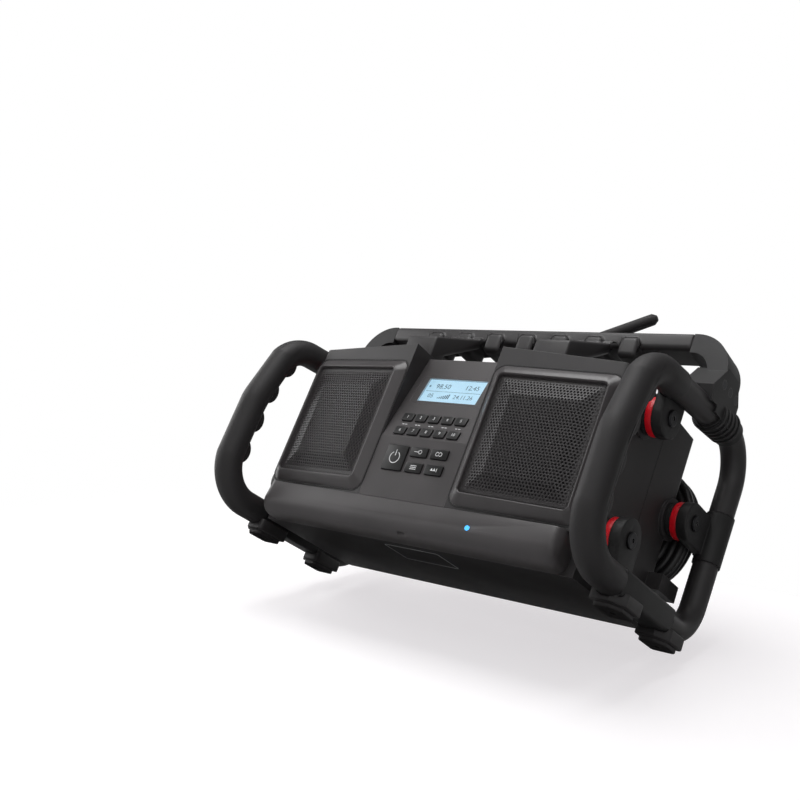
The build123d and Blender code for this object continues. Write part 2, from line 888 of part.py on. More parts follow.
# ---------------------------------------------------------------- rails, brackets
with BuildPart() as rail:
    rail_ends = (from_face(rail_front), rear_tube_y - rail_rear_gap)
    with Locations((frame_half_spacing, sum(rail_ends) / 2, rail_height)):
        Box(rail_width, rail_ends[1] - rail_ends[0], rail_depth)
    fillet(rail.edges().filter_by(Axis.Y), rail_edge)
    for end, way in zip(rail_ends, (-1, 1)):
        place = (frame_half_spacing, end + way * spigot_length / 2, rail_height)
        with Locations(Location(place, (90, 0, 0))):
            Cylinder(tube_radius - tube_wall, spigot_length)
    with BuildSketch(Plane.YZ.offset(bracket_x)):
        with Locations((from_face(front_mount[0]), front_mount[1])):
            Circle(bracket_dia / 2)
        with BuildLine():
            Polyline(
                [
                    (from_face(front_mount[0]) - bracket_dia / 2, front_mount[1]),
                    (from_face(front_mount[0]) + bracket_dia / 2, front_mount[1]),
                    (from_face(front_mount[0]) + bracket_dia / 2, rail_height),
                    (from_face(rail_front) + rail_edge, rail_height),
                    (from_face(rail_front) + rail_edge, rail_height + rail_depth / 2),
                ],
                close=True,
            )
        make_face()
    extrude(amount=bracket_thickness)
    with Locations(Location((bracket_x, from_face(front_mount[0]), front_mount[1]), (0, 90, 0))):
        Cylinder(mount_screw_dia / 2 + mount_screw_gap, 3 * rail_width, mode=Mode.SUBTRACT)
save_pair(rail.part, "rail")

with BuildPart() as brackets:
    with BuildSketch(Plane.YZ.offset(bracket_x)):
        for back, height in (upper_mount, rear_mount):
            with Locations((from_face(back), height)):
                Circle(bracket_dia / 2)
        with Locations((from_face(upper_mount[0]), upper_mount[1])):
            Rectangle(
                bracket_dia,
                tube_height(from_face(upper_mount[0])) - upper_mount[1],
                align=(Align.CENTER, Align.MIN),
            )
        with Locations((from_face(rear_mount[0]), rear_mount[1])):
            Rectangle(
                rear_tube_back(rear_mount[1]) - from_face(rear_mount[0]),
                bracket_dia,
                align=(Align.MIN, Align.CENTER),
            )
    extrude(amount=bracket_thickness)
    with BuildSketch(
        Plane(
            origin=(frame_half_spacing, rear_tube_back(rear_mount[1]), rear_mount[1]),
            z_dir=(0, sin(rear_slope), cos(rear_slope)),
        )
    ):
        Circle(clamp_dia / 2)
    extrude(amount=clamp_height / 2, both=True)
    for back, height in (upper_mount, rear_mount):
        with Locations(Location((bracket_x, from_face(back), height), (0, 90, 0))):
            Cylinder(mount_screw_dia / 2 + mount_screw_gap, 3 * rail_width, mode=Mode.SUBTRACT)
    add(frame_bar, mode=Mode.SUBTRACT)
    add(grip.part, mode=Mode.SUBTRACT)
save_pair(brackets.part, "mount_brackets")

# ---------------------------------------------------------------- rubber mounts
stack = [
    ("mount_rubbers", rubber_x, rubber_thickness, rubber_dia),
    ("mount_rings", ring_x, ring_thickness, ring_dia),
]
outward = (Align.CENTER, Align.CENTER, Align.MIN)
for name, start, thickness, diameter in stack:
    with BuildPart() as discs:
        for side in (1, -1):
            for back, height in (upper_mount, front_mount, rear_mount):
                place = (side * start, from_face(back), height)
                with Locations(Location(place, (0, side * 90, 0))):
                    Cylinder(diameter / 2, thickness, align=outward)
                    bore = mount_screw_dia / 2 + mount_screw_gap
                    Cylinder(bore, 3 * thickness, mode=Mode.SUBTRACT)
    save(discs.part, name)

with BuildPart() as mount_screws:
    for side in (1, -1):
        for back, height in (upper_mount, front_mount, rear_mount):
            place = (side * bracket_face, from_face(back), height)
            with Locations(Location(place, (0, side * 90, 0))):
                Cylinder(mount_head_dia / 2, mount_head_height, align=outward)
                Cylinder(
                    mount_screw_dia / 2,
                    bracket_face - half_width + mount_screw_depth,
                    align=(Align.CENTER, Align.CENTER, Align.MAX),
                )
            socket = (side * (bracket_face + mount_head_height), from_face(back), height)
            with BuildSketch(Plane(origin=socket, z_dir=(side, 0, 0))):
                RegularPolygon(mount_socket / 2, 6, major_radius=False)
            extrude(amount=-mount_socket_depth, mode=Mode.SUBTRACT)
    heads = mount_screws.edges().filter_by(GeomType.CIRCLE)
    crowns = [
        e for e in heads
        if abs(e.radius - mount_head_dia / 2) < 0.01
        and abs(abs(e.center().X) - bracket_face - mount_head_height) < 0.01
    ]
    fillet(crowns, mount_head_height / 2)
save(mount_screws.part, "mount_screws")

# ---------------------------------------------------------------- feet
with BuildPart() as foot_pair:
    for number in range(2):
        middle = from_face(foot_front + number * foot_pitch + foot_size[1] / 2)
        for size, low, high in (
            (foot_size, foot_pad_height, foot_height), (foot_pad, 0, foot_pad_height)
        ):
            with BuildSketch(Plane.XY.offset(low)) as outline:
                with Locations((frame_half_spacing, middle)):
                    Rectangle(*size)
                corners = outline.vertices().sort_by(Axis.X)
                outer = corners[2:].sort_by(Axis.Y)[0]
                fillet([corner for corner in corners if corner != outer], foot_corner)
                cut = outline.vertices().sort_by(lambda corner: corner.X - corner.Y)[-1]
                chamfer(cut, foot_chamfer * size[0] / foot_size[0])
            extrude(amount=high - low)
        with Locations((frame_half_spacing, middle, 0)):
            Cylinder(foot_hole_dia / 2, 2 * foot_hole_depth, mode=Mode.SUBTRACT)
    add(frame_bar, mode=Mode.SUBTRACT)
    add(rail.part, mode=Mode.SUBTRACT)
    add(grip.part, mode=Mode.SUBTRACT)
with BuildPart() as feet:
    add(foot_pair.part)
    mirror(foot_pair.part, about=Plane.YZ)
save(feet.part, "feet")

# ---------------------------------------------------------------- carrying handle
handle_y = from_face(handle_front)
roof_wedge = [
    (pod_start - 1, roof_height(pod_start - 1)),
    (half_width + 1, roof_height(half_width + 1)),
    (half_width + 1, seam_height),
    (pod_start - 1, seam_height),
]
with BuildPart() as top_handle:
    with Locations((0, handle_y, handle_valley)):
        Box(
            2 * handle_half_length,
            handle_depth,
            handle_top - handle_valley,
            align=(Align.CENTER, Align.MIN, Align.MIN),
        )
    fillet(top_handle.edges().filter_by(Axis.X), handle_edge)
    for number in range(lobe_count):
        lobe_x = (number - (lobe_count - 1) / 2) * lobe_pitch
        with BuildPart(mode=Mode.PRIVATE) as lobe:
            with Locations((lobe_x, handle_y - lobe_proud, handle_valley - lobe_drop)):
                Box(
                    lobe_width,
                    handle_depth - handle_edge + lobe_proud,
                    lobe_height,
                    align=(Align.CENTER, Align.MIN, Align.MIN),
                )
            fillet(lobe.edges(), lobe_edge)
        add(lobe.part)
    for side in (1, -1):
        with BuildSketch(Plane.YZ.offset(side * (arm_inner + arm_outer) / 2)):
            with BuildLine():
                Polyline(
                    [
                        (from_face(arm_front), roof_middle - wall),
                        (from_face(arm_front), arm_knee),
                        (handle_y + handle_edge, arm_slope_top),
                        (handle_y + handle_edge, arm_slope_top - arm_thickness),
                        (from_face(arm_front + arm_depth), arm_knee - arm_thickness),
                        (from_face(arm_front + arm_depth), roof_middle - wall),
                    ],
                    close=True,
                )
            make_face()
        extrude(amount=(arm_outer - arm_inner) / 2, both=True)
        with BuildSketch(Plane.XZ):
            with BuildLine():
                Polyline([(side * x, z) for x, z in roof_wedge], close=True)
            make_face()
        extrude(amount=overall_depth, both=True, mode=Mode.SUBTRACT)
save(top_handle.part, "top_handle")

cap_top = handle_top - cap_step
cap_screw_places = [
    (from_face(cap_screw_first + number * cap_screw_pitch), cap_screw_height)
    for number in range(3)
]
with BuildPart() as end_cap:
    with BuildSketch(Plane.XZ.offset(-handle_y - cap_step)):
        with BuildLine():
            l1 = Line((handle_half_length, cap_top), (cap_outer - cap_corner, cap_top))
            l2 = JernArc(l1 @ 1, (1, 0), cap_corner, -90)
            l3 = Polyline(
                [
                    l2 @ 1,
                    (cap_outer, rear_top_height - cap_round),
                    (cap_outer - cap_band, rear_top_height - cap_round),
                    (cap_outer - cap_band, cap_top - cap_corner),
                ]
            )
            l4 = JernArc(l3 @ 1, (0, 1), cap_corner - cap_band, 90)
            l5 = Polyline([l4 @ 1, (handle_half_length, cap_top - cap_band), l1 @ 0])
        make_face()
    extrude(amount=-(handle_depth - 2 * cap_step))
    front_y = from_face(cap_front)
    rear_y = from_face(cap_rear)
    with BuildSketch(Plane.YZ.offset(cap_inner)):
        with BuildLine():
            Polyline(
                [
                    (front_y + 4, tube_height(front_y) + cap_foot),
                    (front_y, tube_height(front_y) + cap_round),
                    (handle_y + 4, cap_top - cap_corner + 6),
                    (handle_y + handle_depth - 6, cap_top - cap_corner + 6),
                    (rear_y, tube_height(rear_y) + cap_round),
                    (rear_y, tube_height(rear_y) + cap_foot),
                ],
                close=True,
            )
        make_face()
    extrude(amount=cap_outer - cap_inner)
    with BuildPart(mode=Mode.PRIVATE) as sleeve:
        add(solid_path(sleeve_dia / 2))
        with Locations((frame_half_spacing, from_face(sleeve_start), rear_top_height)):
            Box(
                2 * sleeve_dia,
                sleeve_end - sleeve_start,
                4 * sleeve_dia,
                align=(Align.CENTER, Align.MIN, Align.CENTER),
                mode=Mode.INTERSECT,
            )
    add(sleeve.part)
    for number in range(sleeve_rib_count):
        rib_y = from_face(sleeve_start) + (number + 0.5) * sleeve_rib_pitch
        with BuildSketch(
            Plane(
                origin=(frame_half_spacing, rib_y, tube_height(rib_y)),
                z_dir=(0, cos(top_slope), sin(top_slope)),
            )
        ):
            Circle(sleeve_rib_dia / 2)
        extrude(amount=sleeve_rib / 2, both=True)
    add(frame_bar, mode=Mode.SUBTRACT)
    for y, z in cap_screw_places:
        with Locations(Location((cap_outer, y, z), (0, 90, 0))):
            Cylinder(cap_screw_dia / 2, cap_screw_dia / 2, mode=Mode.SUBTRACT)
            Cylinder(cap_screw_dia / 4, 2 * cap_screw_length, mode=Mode.SUBTRACT)
save_pair(end_cap.part, "handle_cap")

with BuildPart() as cap_screws:
    for side in (1, -1):
        for y, z in cap_screw_places:
            with Locations(Location((side * cap_outer, y, z), (0, side * 90, 0))):
                Cylinder(
                    cap_screw_dia / 2,
                    cap_screw_dia / 4,
                    align=(Align.CENTER, Align.CENTER, Align.MAX),
                )
                Cylinder(
                    cap_screw_dia / 4,
                    cap_screw_length,
                    align=(Align.CENTER, Align.CENTER, Align.MAX),
                )
save(cap_screws.part, "cap_screws")

# ---------------------------------------------------------------- aerial
aerial_pivot = (aerial_x, from_face(aerial_back), aerial_pivot_height)
turn = radians(aerial_angle)
aerial_plane = Plane(origin=aerial_pivot, x_dir=(cos(turn), 0, sin(turn)), z_dir=(0, -1, 0))
with BuildPart() as aerial_base:
    with BuildSketch(Plane.XZ.offset(-aerial_pivot[1] - aerial_base_size[1] / 2)):
        with BuildLine():
            Polyline(
                [
                    (aerial_x - aerial_base_size[0] / 2, roof_middle - 2 * wall),
                    (aerial_x - aerial_tongue_dia / 2 - 2, aerial_pivot_height),
                    (aerial_x + aerial_tongue_dia / 2 + 2, aerial_pivot_height),
                    (aerial_x + aerial_base_size[0] / 2, roof_middle - 2 * wall),
                ],
                close=True,
            )
        make_face()
        with Locations((aerial_x, aerial_pivot_height)):
            Circle(aerial_tongue_dia / 2 + 2)
    extrude(amount=aerial_base_size[1])
    with Locations((aerial_x, aerial_pivot[1], aerial_pivot_height - aerial_tongue_dia / 2 - 2)):
        Box(
            2 * aerial_base_size[0],
            aerial_tongue + 2 * aerial_gap,
            2 * aerial_tongue_dia,
            align=(Align.CENTER, Align.CENTER, Align.MIN),
            mode=Mode.SUBTRACT,
        )
    with BuildSketch(Plane.XZ):
        with BuildLine():
            Polyline([(-x, z) for x, z in roof_wedge], close=True)
        make_face()
    extrude(amount=overall_depth, both=True, mode=Mode.SUBTRACT)
    with Locations(Location(aerial_pivot, (90, 0, 0))):
        Cylinder(aerial_pin_dia / 2, 2 * aerial_base_size[1], mode=Mode.SUBTRACT)
save(aerial_base.part, "aerial_base")

with BuildPart() as aerial:
    root = aerial_tongue_dia / 2 + 5
    with BuildSketch(aerial_plane):
        with BuildLine():
            Polyline(
                [
                    (root, 0),
                    (root, aerial_root_dia / 2 - 1),
                    (root + 2, aerial_root_dia / 2),
                    (root + 24, aerial_root_dia / 2),
                    (root + 28, aerial_tip_dia / 2 + 1),
                    (aerial_length - 4, aerial_tip_dia / 2),
                    (aerial_length, aerial_tip_dia / 4),
                    (aerial_length, 0),
                ],
                close=True,
            )
        make_face()
    revolve(axis=Axis(aerial_plane.origin, aerial_plane.x_dir))
    with BuildSketch(aerial_plane.offset(-aerial_tongue / 2)):
        Circle(aerial_tongue_dia / 2)
        with Locations(((root + 2) / 2, 0)):
            Rectangle(root + 2, aerial_tongue_dia)
    extrude(amount=aerial_tongue)
    with BuildSketch(aerial_plane):
        Circle(aerial_pin_dia / 2 + aerial_pin_gap)
    extrude(amount=aerial_tongue, both=True, mode=Mode.SUBTRACT)
save(aerial.part, "aerial")

with BuildPart() as aerial_pin:
    with Locations(Location(aerial_pivot, (90, 0, 0))):
        Cylinder(aerial_pin_dia / 2, aerial_base_size[1])
save(aerial_pin.part, "aerial_pin")

# ---------------------------------------------------------------- battery door
door_bottom = door_height - door_size[1] / 2
with BuildPart() as battery_door:
    with Locations((door_x, back_y, door_height)):
        Box(door_size[0], door_thickness, door_size[1], align=bay_back)
    with BuildSketch(Plane.YZ.offset(door_x)):
        with BuildLine():
            Polyline(
                [
                    (back_y - door_thickness, door_bottom),
                    (back_y - door_thickness, door_bottom + hinge_dia),
                    (back_y, door_bottom + hinge_dia),
                    (hinge_y + hinge_dia / 2, hinge_height + 1),
                    (hinge_y, hinge_height),
                    (hinge_y - hinge_dia / 2, hinge_height),
                    (hinge_y - hinge_dia / 2, door_bottom),
                ],
                close=True,
            )
        make_face()
        with Locations((hinge_y, hinge_height)):
            Circle(hinge_dia / 2)
    extrude(amount=hinge_length / 2, both=True)
    with Locations(Location((door_x, hinge_y, hinge_height), (0, 90, 0))):
        Cylinder(hinge_pin_dia / 2 + hinge_pin_gap, hinge_length, mode=Mode.SUBTRACT)
    with Locations((door_x, back_y, door_height + door_size[1] / 2 - latch_size[1])):
        Box(
            latch_size[0],
            latch_thickness,
            latch_size[1],
            align=(Align.CENTER, Align.MIN, Align.CENTER),
        )
save(battery_door.part, "battery_door")

with BuildPart() as hinge_pin:
    with Locations(Location((door_x, hinge_y, hinge_height), (0, 90, 0))):
        Cylinder(hinge_pin_dia / 2, hinge_length + 2 * (hinge_side_gap + hinge_eye))
save(hinge_pin.part, "hinge_pin")

# ---------------------------------------------------------------- mains lead
with BuildPart() as cord_coil:
    with BuildSketch(Plane.XZ.offset(-(back_y + coil_wall_gap))):
        with Locations((coil_x, coil_height)):
            RectangleRounded(2 * coil_half_width, 2 * coil_half_height, coil_corner)
            band = coil_turns_wide * cord_dia
            RectangleRounded(
                2 * (coil_half_width - band),
                2 * (coil_half_height - band),
                coil_corner - band,
                mode=Mode.SUBTRACT,
            )
    extrude(amount=-coil_depth)
save(cord_coil.part, "cord_coil")

lead_route = [
    (128.2, 84.5, 118.0),
    (107.2, 84.5, 118.0),
    (89.0, 84.5, 107.5),
    (78.5, 84.5, 89.3),
    (78.5, 84.5, 68.3),
]
tail_route = [
    (115.0, 98.5, 162.0),
    (99.0, 99.4, 162.0),
    (82.0, 102.5, 153.0),
    (72.5, 107.0, 133.0),
    (71.5, 108.0, 110.0),
]


def bend_radii(points):
    """Largest arc that each corner of a cord's route has room for."""
    radii = []
    for before, here, after in zip(points, points[1:], points[2:]):
        run_in = Vector(*here) - Vector(*before)
        run_out = Vector(*after) - Vector(*here)
        half = radians(run_in.get_angle(run_out)) / 2
        radii.append(0.45 * min(run_in.length, run_out.length) / tan(half))
    return radii


for name, points in (("cord_lead", lead_route), ("cord_tail", tail_route)):
    radii = bend_radii(points)
    with BuildPart() as cord:
        with BuildLine() as route:
            FilletPolyline(*points, radius=radii)
        with BuildSketch(Plane(origin=route.line @ 0, z_dir=route.line % 0)):
            Circle(cord_dia / 2)
        sweep(path=route.line)
    save(cord.part, name)
    length = sum(edge.length for edge in route.line.edges())
    section = pi * cord_dia**2 / 4
    print(name, [round(r, 1) for r in radii], round(length, 1), cord.part.volume / section / length)

with BuildPart() as cord_gland:
    exit_x, exit_y, exit_z = lead_route[0]
    with Locations((exit_x + gland_length, back_y, exit_z)):
        Box(
            gland_box[0],
            gland_box_depth,
            gland_box[1],
            align=(Align.MIN, Align.MIN, Align.CENTER),
        )
    with Locations(Location((exit_x + gland_length, exit_y, exit_z), (0, -90, 0))):
        Cone(gland_dia / 2, gland_tip_dia / 2, gland_length, align=outward)
save(cord_gland.part, "cord_gland")

with BuildPart() as mains_plug:
    end_x, end_y, end_z = tail_route[-1]
    with BuildSketch(Plane.XZ.offset(-end_y - plug_body[1] / 2)):
        with Locations((end_x, end_z - plug_relief)):
            RectangleRounded(
                plug_body[0], plug_body[2], plug_corner, align=(Align.CENTER, Align.MAX)
            )
    extrude(amount=plug_body[1])
    with Locations((end_x, end_y, end_z)):
        Cone(
            plug_relief_dia / 2,
            gland_tip_dia / 2,
            plug_relief,
            align=(Align.CENTER, Align.CENTER, Align.MAX),
        )
    for side in (1, -1):
        pin_x = end_x + side * plug_pin_pitch / 2
        with Locations((pin_x, end_y, end_z - plug_relief - plug_body[2] + 0.5)):
            Cylinder(
                plug_pin_dia / 2,
                plug_pin_length + 0.5,
                align=(Align.CENTER, Align.CENTER, Align.MAX),
            )
save(mains_plug.part, "mains_plug")
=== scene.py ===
"""Finishes and fine parts of a jobsite radio, laid out as an add-on and run as a script.

Everything is in metres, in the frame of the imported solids: +X right, +Y back, +Z up.
"""

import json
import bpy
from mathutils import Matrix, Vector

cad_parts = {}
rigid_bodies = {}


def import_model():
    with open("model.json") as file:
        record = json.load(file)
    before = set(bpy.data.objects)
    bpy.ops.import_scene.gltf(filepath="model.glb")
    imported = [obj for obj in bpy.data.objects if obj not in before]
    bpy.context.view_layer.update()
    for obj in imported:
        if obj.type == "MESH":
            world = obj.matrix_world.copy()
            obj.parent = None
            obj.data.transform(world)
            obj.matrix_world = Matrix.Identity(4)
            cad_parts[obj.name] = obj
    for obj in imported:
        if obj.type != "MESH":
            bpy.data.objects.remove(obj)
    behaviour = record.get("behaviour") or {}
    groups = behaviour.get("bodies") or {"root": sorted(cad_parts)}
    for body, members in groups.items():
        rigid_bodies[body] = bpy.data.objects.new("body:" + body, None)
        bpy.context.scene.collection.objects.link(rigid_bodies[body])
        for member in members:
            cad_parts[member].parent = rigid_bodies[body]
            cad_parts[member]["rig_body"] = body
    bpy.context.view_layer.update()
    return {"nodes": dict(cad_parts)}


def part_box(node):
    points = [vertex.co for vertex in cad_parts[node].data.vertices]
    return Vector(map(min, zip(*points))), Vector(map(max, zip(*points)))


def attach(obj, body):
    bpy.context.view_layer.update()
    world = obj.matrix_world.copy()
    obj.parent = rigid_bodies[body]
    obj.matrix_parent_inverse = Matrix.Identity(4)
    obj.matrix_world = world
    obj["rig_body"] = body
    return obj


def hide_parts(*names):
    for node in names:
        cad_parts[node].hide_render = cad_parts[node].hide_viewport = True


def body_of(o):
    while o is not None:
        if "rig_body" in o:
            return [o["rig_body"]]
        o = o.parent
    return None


bl_info = {
    "name": "Jobsite radio finish",
    "version": (1, 0, 0),
    "blender": (4, 5, 0),
    "location": "3D View > Sidebar > Radio",
    "description": "Perforated grilles, keys, display, mains lead and finishes of a jobsite radio",
    "category": "Object",
}

from math import cos, pi, radians, sin, sqrt

import bmesh
import bpy
from mathutils import Matrix, Vector

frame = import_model()
NODES = frame["nodes"]
MAIN = "radio"
SIDES = ("left", "right")
MM = 0.001

# ---------- places on the radio
FACE_Y = -75.0 * MM
CREASE_Z = 101.0 * MM
LEAN = radians(13.7)
YAW = radians(3.6)
POD_START = 47.0 * MM
HALF_WIDTH = 167.0 * MM
POD_MIDDLE = (HALF_WIDTH - POD_START) / cos(YAW) / 2
BEZEL_SIZE = (118.0 * MM, 127.0 * MM)
SPEAKER_Z = 47.5 * MM + BEZEL_SIZE[1] / 2
PRESET_PITCH, PRESET_ROWS = 14.6 * MM, (21.2 * MM, 6.4 * MM)
PRESET_COLUMNS = [place * PRESET_PITCH for place in (-2, -1, 0, 1, 2)]
FUNCTION_COLUMNS, FUNCTION_ROWS = (2.1 * MM, 23.8 * MM), (88.4 * MM, 74.2 * MM)
POWER_PLACE = (-21.8 * MM, 81.3 * MM)
KEY_PROUD = 1.4 * MM
INK_THICKNESS, INK_GAP = 0.04 * MM, 0.002 * MM
WINDOW_MIDDLE = 54.0 * MM


def plane(origin, across, up):
    """Matrix of a drawing plane from its origin and two axes; its normal points outwards."""
    x, y = Vector(across).normalized(), Vector(up).normalized()
    z = x.cross(y)
    matrix = Matrix((x, y, z)).transposed().to_4x4()
    matrix.translation = Vector(origin)
    return matrix


UPRIGHT = plane((0, FACE_Y, 0), (1, 0, 0), (0, 0, 1))
LEANING = plane((0, FACE_Y, CREASE_Z), (1, 0, 0), (0, sin(LEAN), cos(LEAN)))


def pod_plane(side):
    """Plane of a speaker pod, with its origin at the middle of the grille."""
    across = (cos(YAW), side * sin(YAW), 0)
    origin = (
        side * (POD_START + POD_MIDDLE * cos(YAW)),
        FACE_Y + POD_MIDDLE * sin(YAW),
        SPEAKER_Z,
    )
    return plane(origin, across, (0, 0, 1))


# ---------- colours and nodes
def linear(colour):
    """Linear RGBA of an sRGB hex colour."""
    parts = [int(colour[i : i + 2], 16) / 255 for i in (1, 3, 5)]
    parts = [c / 12.92 if c <= 0.04045 else ((c + 0.055) / 1.055) ** 2.4 for c in parts]
    return (*parts, 1.0)


def add_node(tree, kind, links=None, inputs=None, **settings):
    """Adds a node with its settings, unlinked input values and incoming links."""
    node = tree.nodes.new(kind)
    for name, value in settings.items():
        setattr(node, name, value)
    for name, value in (inputs or {}).items():
        node.inputs[name].default_value = value
    for name, socket in (links or {}).items():
        tree.links.new(socket, node.inputs[name])
    return node


def new_material(name):
    """An empty node material with its output."""
    made = bpy.data.materials.new(name)
    made.use_nodes = True
    made.node_tree.nodes.clear()
    output = add_node(made.node_tree, "ShaderNodeOutputMaterial")
    return made, made.node_tree, output


def drifting(tree, scale, detail, low, high):
    """A value that drifts between two levels over a piece."""
    place = add_node(tree, "ShaderNodeTexCoord").outputs["Object"]
    cloud = add_node(
        tree, "ShaderNodeTexNoise", {"Vector": place}, {"Scale": scale, "Detail": detail}
    )
    level = add_node(
        tree,
        "ShaderNodeMapRange",
        {"Value": cloud.outputs["Fac"]},
        {"To Min": low, "To Max": high},
    )
    return level.outputs[0]


def surface(
    name, colour, roughness, grain, relief, edge=0.6, worn=0.12, metallic=0.0, specular=0.5
):
    """A moulded, painted or plated surface.

    The grain is its feature size, the relief its depth and the edge its rounding, in mm.
    """
    made, tree, output = new_material(name)
    # a fine grain for the relief, and broad patches some 4 cm across for tint and sheen
    place = add_node(tree, "ShaderNodeTexCoord").outputs["Object"]
    fine = add_node(
        tree, "ShaderNodeTexNoise", {"Vector": place}, {"Scale": 1 / (grain * MM), "Detail": 2.0}
    )
    broad = add_node(
        tree, "ShaderNodeTexNoise", {"Vector": place}, {"Scale": 24.0, "Detail": 3.0}
    )
    rounded = add_node(tree, "ShaderNodeBevel", None, {"Radius": edge * MM}, samples=4)
    flat = add_node(tree, "ShaderNodeNewGeometry")
    # an edge is where the rounded normal turns away from the flat one
    turn = add_node(
        tree,
        "ShaderNodeVectorMath",
        {0: rounded.outputs[0], 1: flat.outputs["Normal"]},
        operation="DOT_PRODUCT",
    )
    rubbed = add_node(
        tree,
        "ShaderNodeMapRange",
        {"Value": turn.outputs["Value"]},
        {"From Min": 0.995, "From Max": 0.8, "To Min": 0.0, "To Max": worn},
    )
    tint = add_node(
        tree,
        "ShaderNodeMapRange",
        {"Value": broad.outputs["Fac"]},
        {"From Min": 0.3, "From Max": 0.7, "To Min": 0.88, "To Max": 1.12},
    )
    base = add_node(
        tree, "ShaderNodeMix", {}, {"Factor": 1.0}, data_type="RGBA", blend_type="MULTIPLY"
    )
    base.inputs["A"].default_value = linear(colour)
    tree.links.new(tint.outputs[0], base.inputs["B"])
    wear = add_node(tree, "ShaderNodeMix", {"Factor": rubbed.outputs[0]}, data_type="RGBA")
    tree.links.new(base.outputs["Result"], wear.inputs["A"])
    wear.inputs["B"].default_value = linear("#b9b6b7")
    sheen = add_node(
        tree,
        "ShaderNodeMapRange",
        {"Value": broad.outputs["Fac"]},
        {
            "From Min": 0.3,
            "From Max": 0.7,
            "To Min": roughness * 0.93,
            "To Max": min(roughness * 1.07, 1.0),
        },
    )
    bump = add_node(
        tree,
        "ShaderNodeBump",
        {"Height": fine.outputs["Fac"], "Normal": rounded.outputs[0]},
        {"Strength": 1.0, "Distance": relief * MM},
    )
    shader = add_node(
        tree,
        "ShaderNodeBsdfPrincipled",
        {
            "Base Color": wear.outputs["Result"],
            "Roughness": sheen.outputs[0],
            "Normal": bump.outputs[0],
        },
        {"Metallic": metallic, "Specular IOR Level": specular, "IOR": 1.5},
    )
    tree.links.new(shader.outputs[0], output.inputs["Surface"])
    return made


def glowing(name, colour, strength):
    """A lit surface under a smooth face, such as a lamp or a backlit film."""
    made, tree, output = new_material(name)
    shader = add_node(
        tree,
        "ShaderNodeBsdfPrincipled",
        {"Emission Strength": drifting(tree, 30.0, 1.0, strength * 0.9, strength * 1.1)},
        {
            "Base Color": linear("#20262b"),
            "Roughness": 0.2,
            "Emission Color": linear(colour),
        },
    )
    tree.links.new(shader.outputs[0], output.inputs["Surface"])
    return made


def clear_cover(name):
    """Injection-moulded polycarbonate, clear, with a faint haze."""
    made, tree, output = new_material(name)
    shader = add_node(
        tree,
        "ShaderNodeBsdfPrincipled",
        {"Roughness": drifting(tree, 60.0, 2.0, 0.03, 0.08)},
        {
            "Base Color": linear("#f4f8fa"),
            "Transmission Weight": 1.0,
            "IOR": 1.25,
            "Specular IOR Level": 0.1,
        },
    )
    tree.links.new(shader.outputs[0], output.inputs["Surface"])
    return made


# ---------- making and placing
def focus(*objects):
    """Only these objects are selected, and the first is active."""
    if bpy.context.object and bpy.context.object.mode != "OBJECT":
        bpy.ops.object.mode_set(mode="OBJECT")
    bpy.ops.object.select_all(action="DESELECT")
    for item in objects:
        item.select_set(True)
    bpy.context.view_layer.objects.active = objects[0]


def linked(name, data):
    """A new object in the scene, at the origin."""
    made = bpy.data.objects.new(name, data)
    bpy.context.scene.collection.objects.link(made)
    return made


def open_all():
    """Edit mode, with everything selected."""
    bpy.ops.object.mode_set(mode="EDIT")
    bpy.ops.mesh.select_all(action="SELECT")


def close_all():
    """All faces are turned outwards, and edit mode is left."""
    bpy.ops.mesh.select_all(action="SELECT")
    bpy.ops.mesh.normals_make_consistent(inside=False)
    bpy.ops.object.mode_set(mode="OBJECT")


def settle(piece, name, matrix=None):
    """Puts the place of a piece into its mesh and names it."""
    if matrix is not None:
        piece.matrix_world = matrix @ piece.matrix_world
    focus(piece)
    if piece.type != "MESH":
        bpy.ops.object.convert(target="MESH")
        piece = bpy.context.object
    bpy.ops.object.transform_apply()
    piece.name = name
    piece.data.name = name
    return piece


def finish_piece(piece, material, body=MAIN, node=None, angle=35):
    """Gives a piece its finish, its body and the solid that it stands for."""
    if piece.type == "MESH":
        focus(piece)
        bpy.ops.object.shade_smooth_by_angle(angle=radians(angle))
    piece.data.materials.clear()
    piece.data.materials.append(material)
    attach(piece, body)
    if node:
        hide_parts(*([node] if isinstance(node, str) else node))
    return piece


def apply_modifier(piece, kind, **settings):
    """Adds one modifier, sets it and applies it."""
    focus(piece)
    modifier = piece.modifiers.new(kind.title(), kind)
    for name, value in settings.items():
        setattr(modifier, name, value)
    bpy.ops.object.modifier_apply(modifier=modifier.name)


def copy_of(node, name):
    """A loose copy of a solid's mesh, merged and with its flat faces whole again."""
    piece = linked(name, NODES[node].data.copy())
    focus(piece)
    bpy.ops.mesh.customdata_custom_splitnormals_clear()
    open_all()
    bpy.ops.mesh.remove_doubles(threshold=1e-6)
    bpy.ops.mesh.dissolve_limited(angle_limit=radians(0.5))
    bpy.ops.object.mode_set(mode="OBJECT")
    return piece


def softened(node, name, width, material, angle=40, segments=3):
    """Stands in for a solid with its sharp edges rounded."""
    piece = copy_of(node, name)
    apply_modifier(
        piece,
        "BEVEL",
        width=width,
        segments=segments,
        limit_method="ANGLE",
        angle_limit=radians(angle),
        use_clamp_overlap=False,
    )
    body = body_of(NODES[node])[0]
    return finish_piece(piece, material, body, node)


def joined(pieces, name):
    """One mesh of several."""
    focus(*pieces)
    if len(pieces) > 1:
        bpy.ops.object.join()
    pieces[0].name = name
    pieces[0].data.name = name
    return pieces[0]


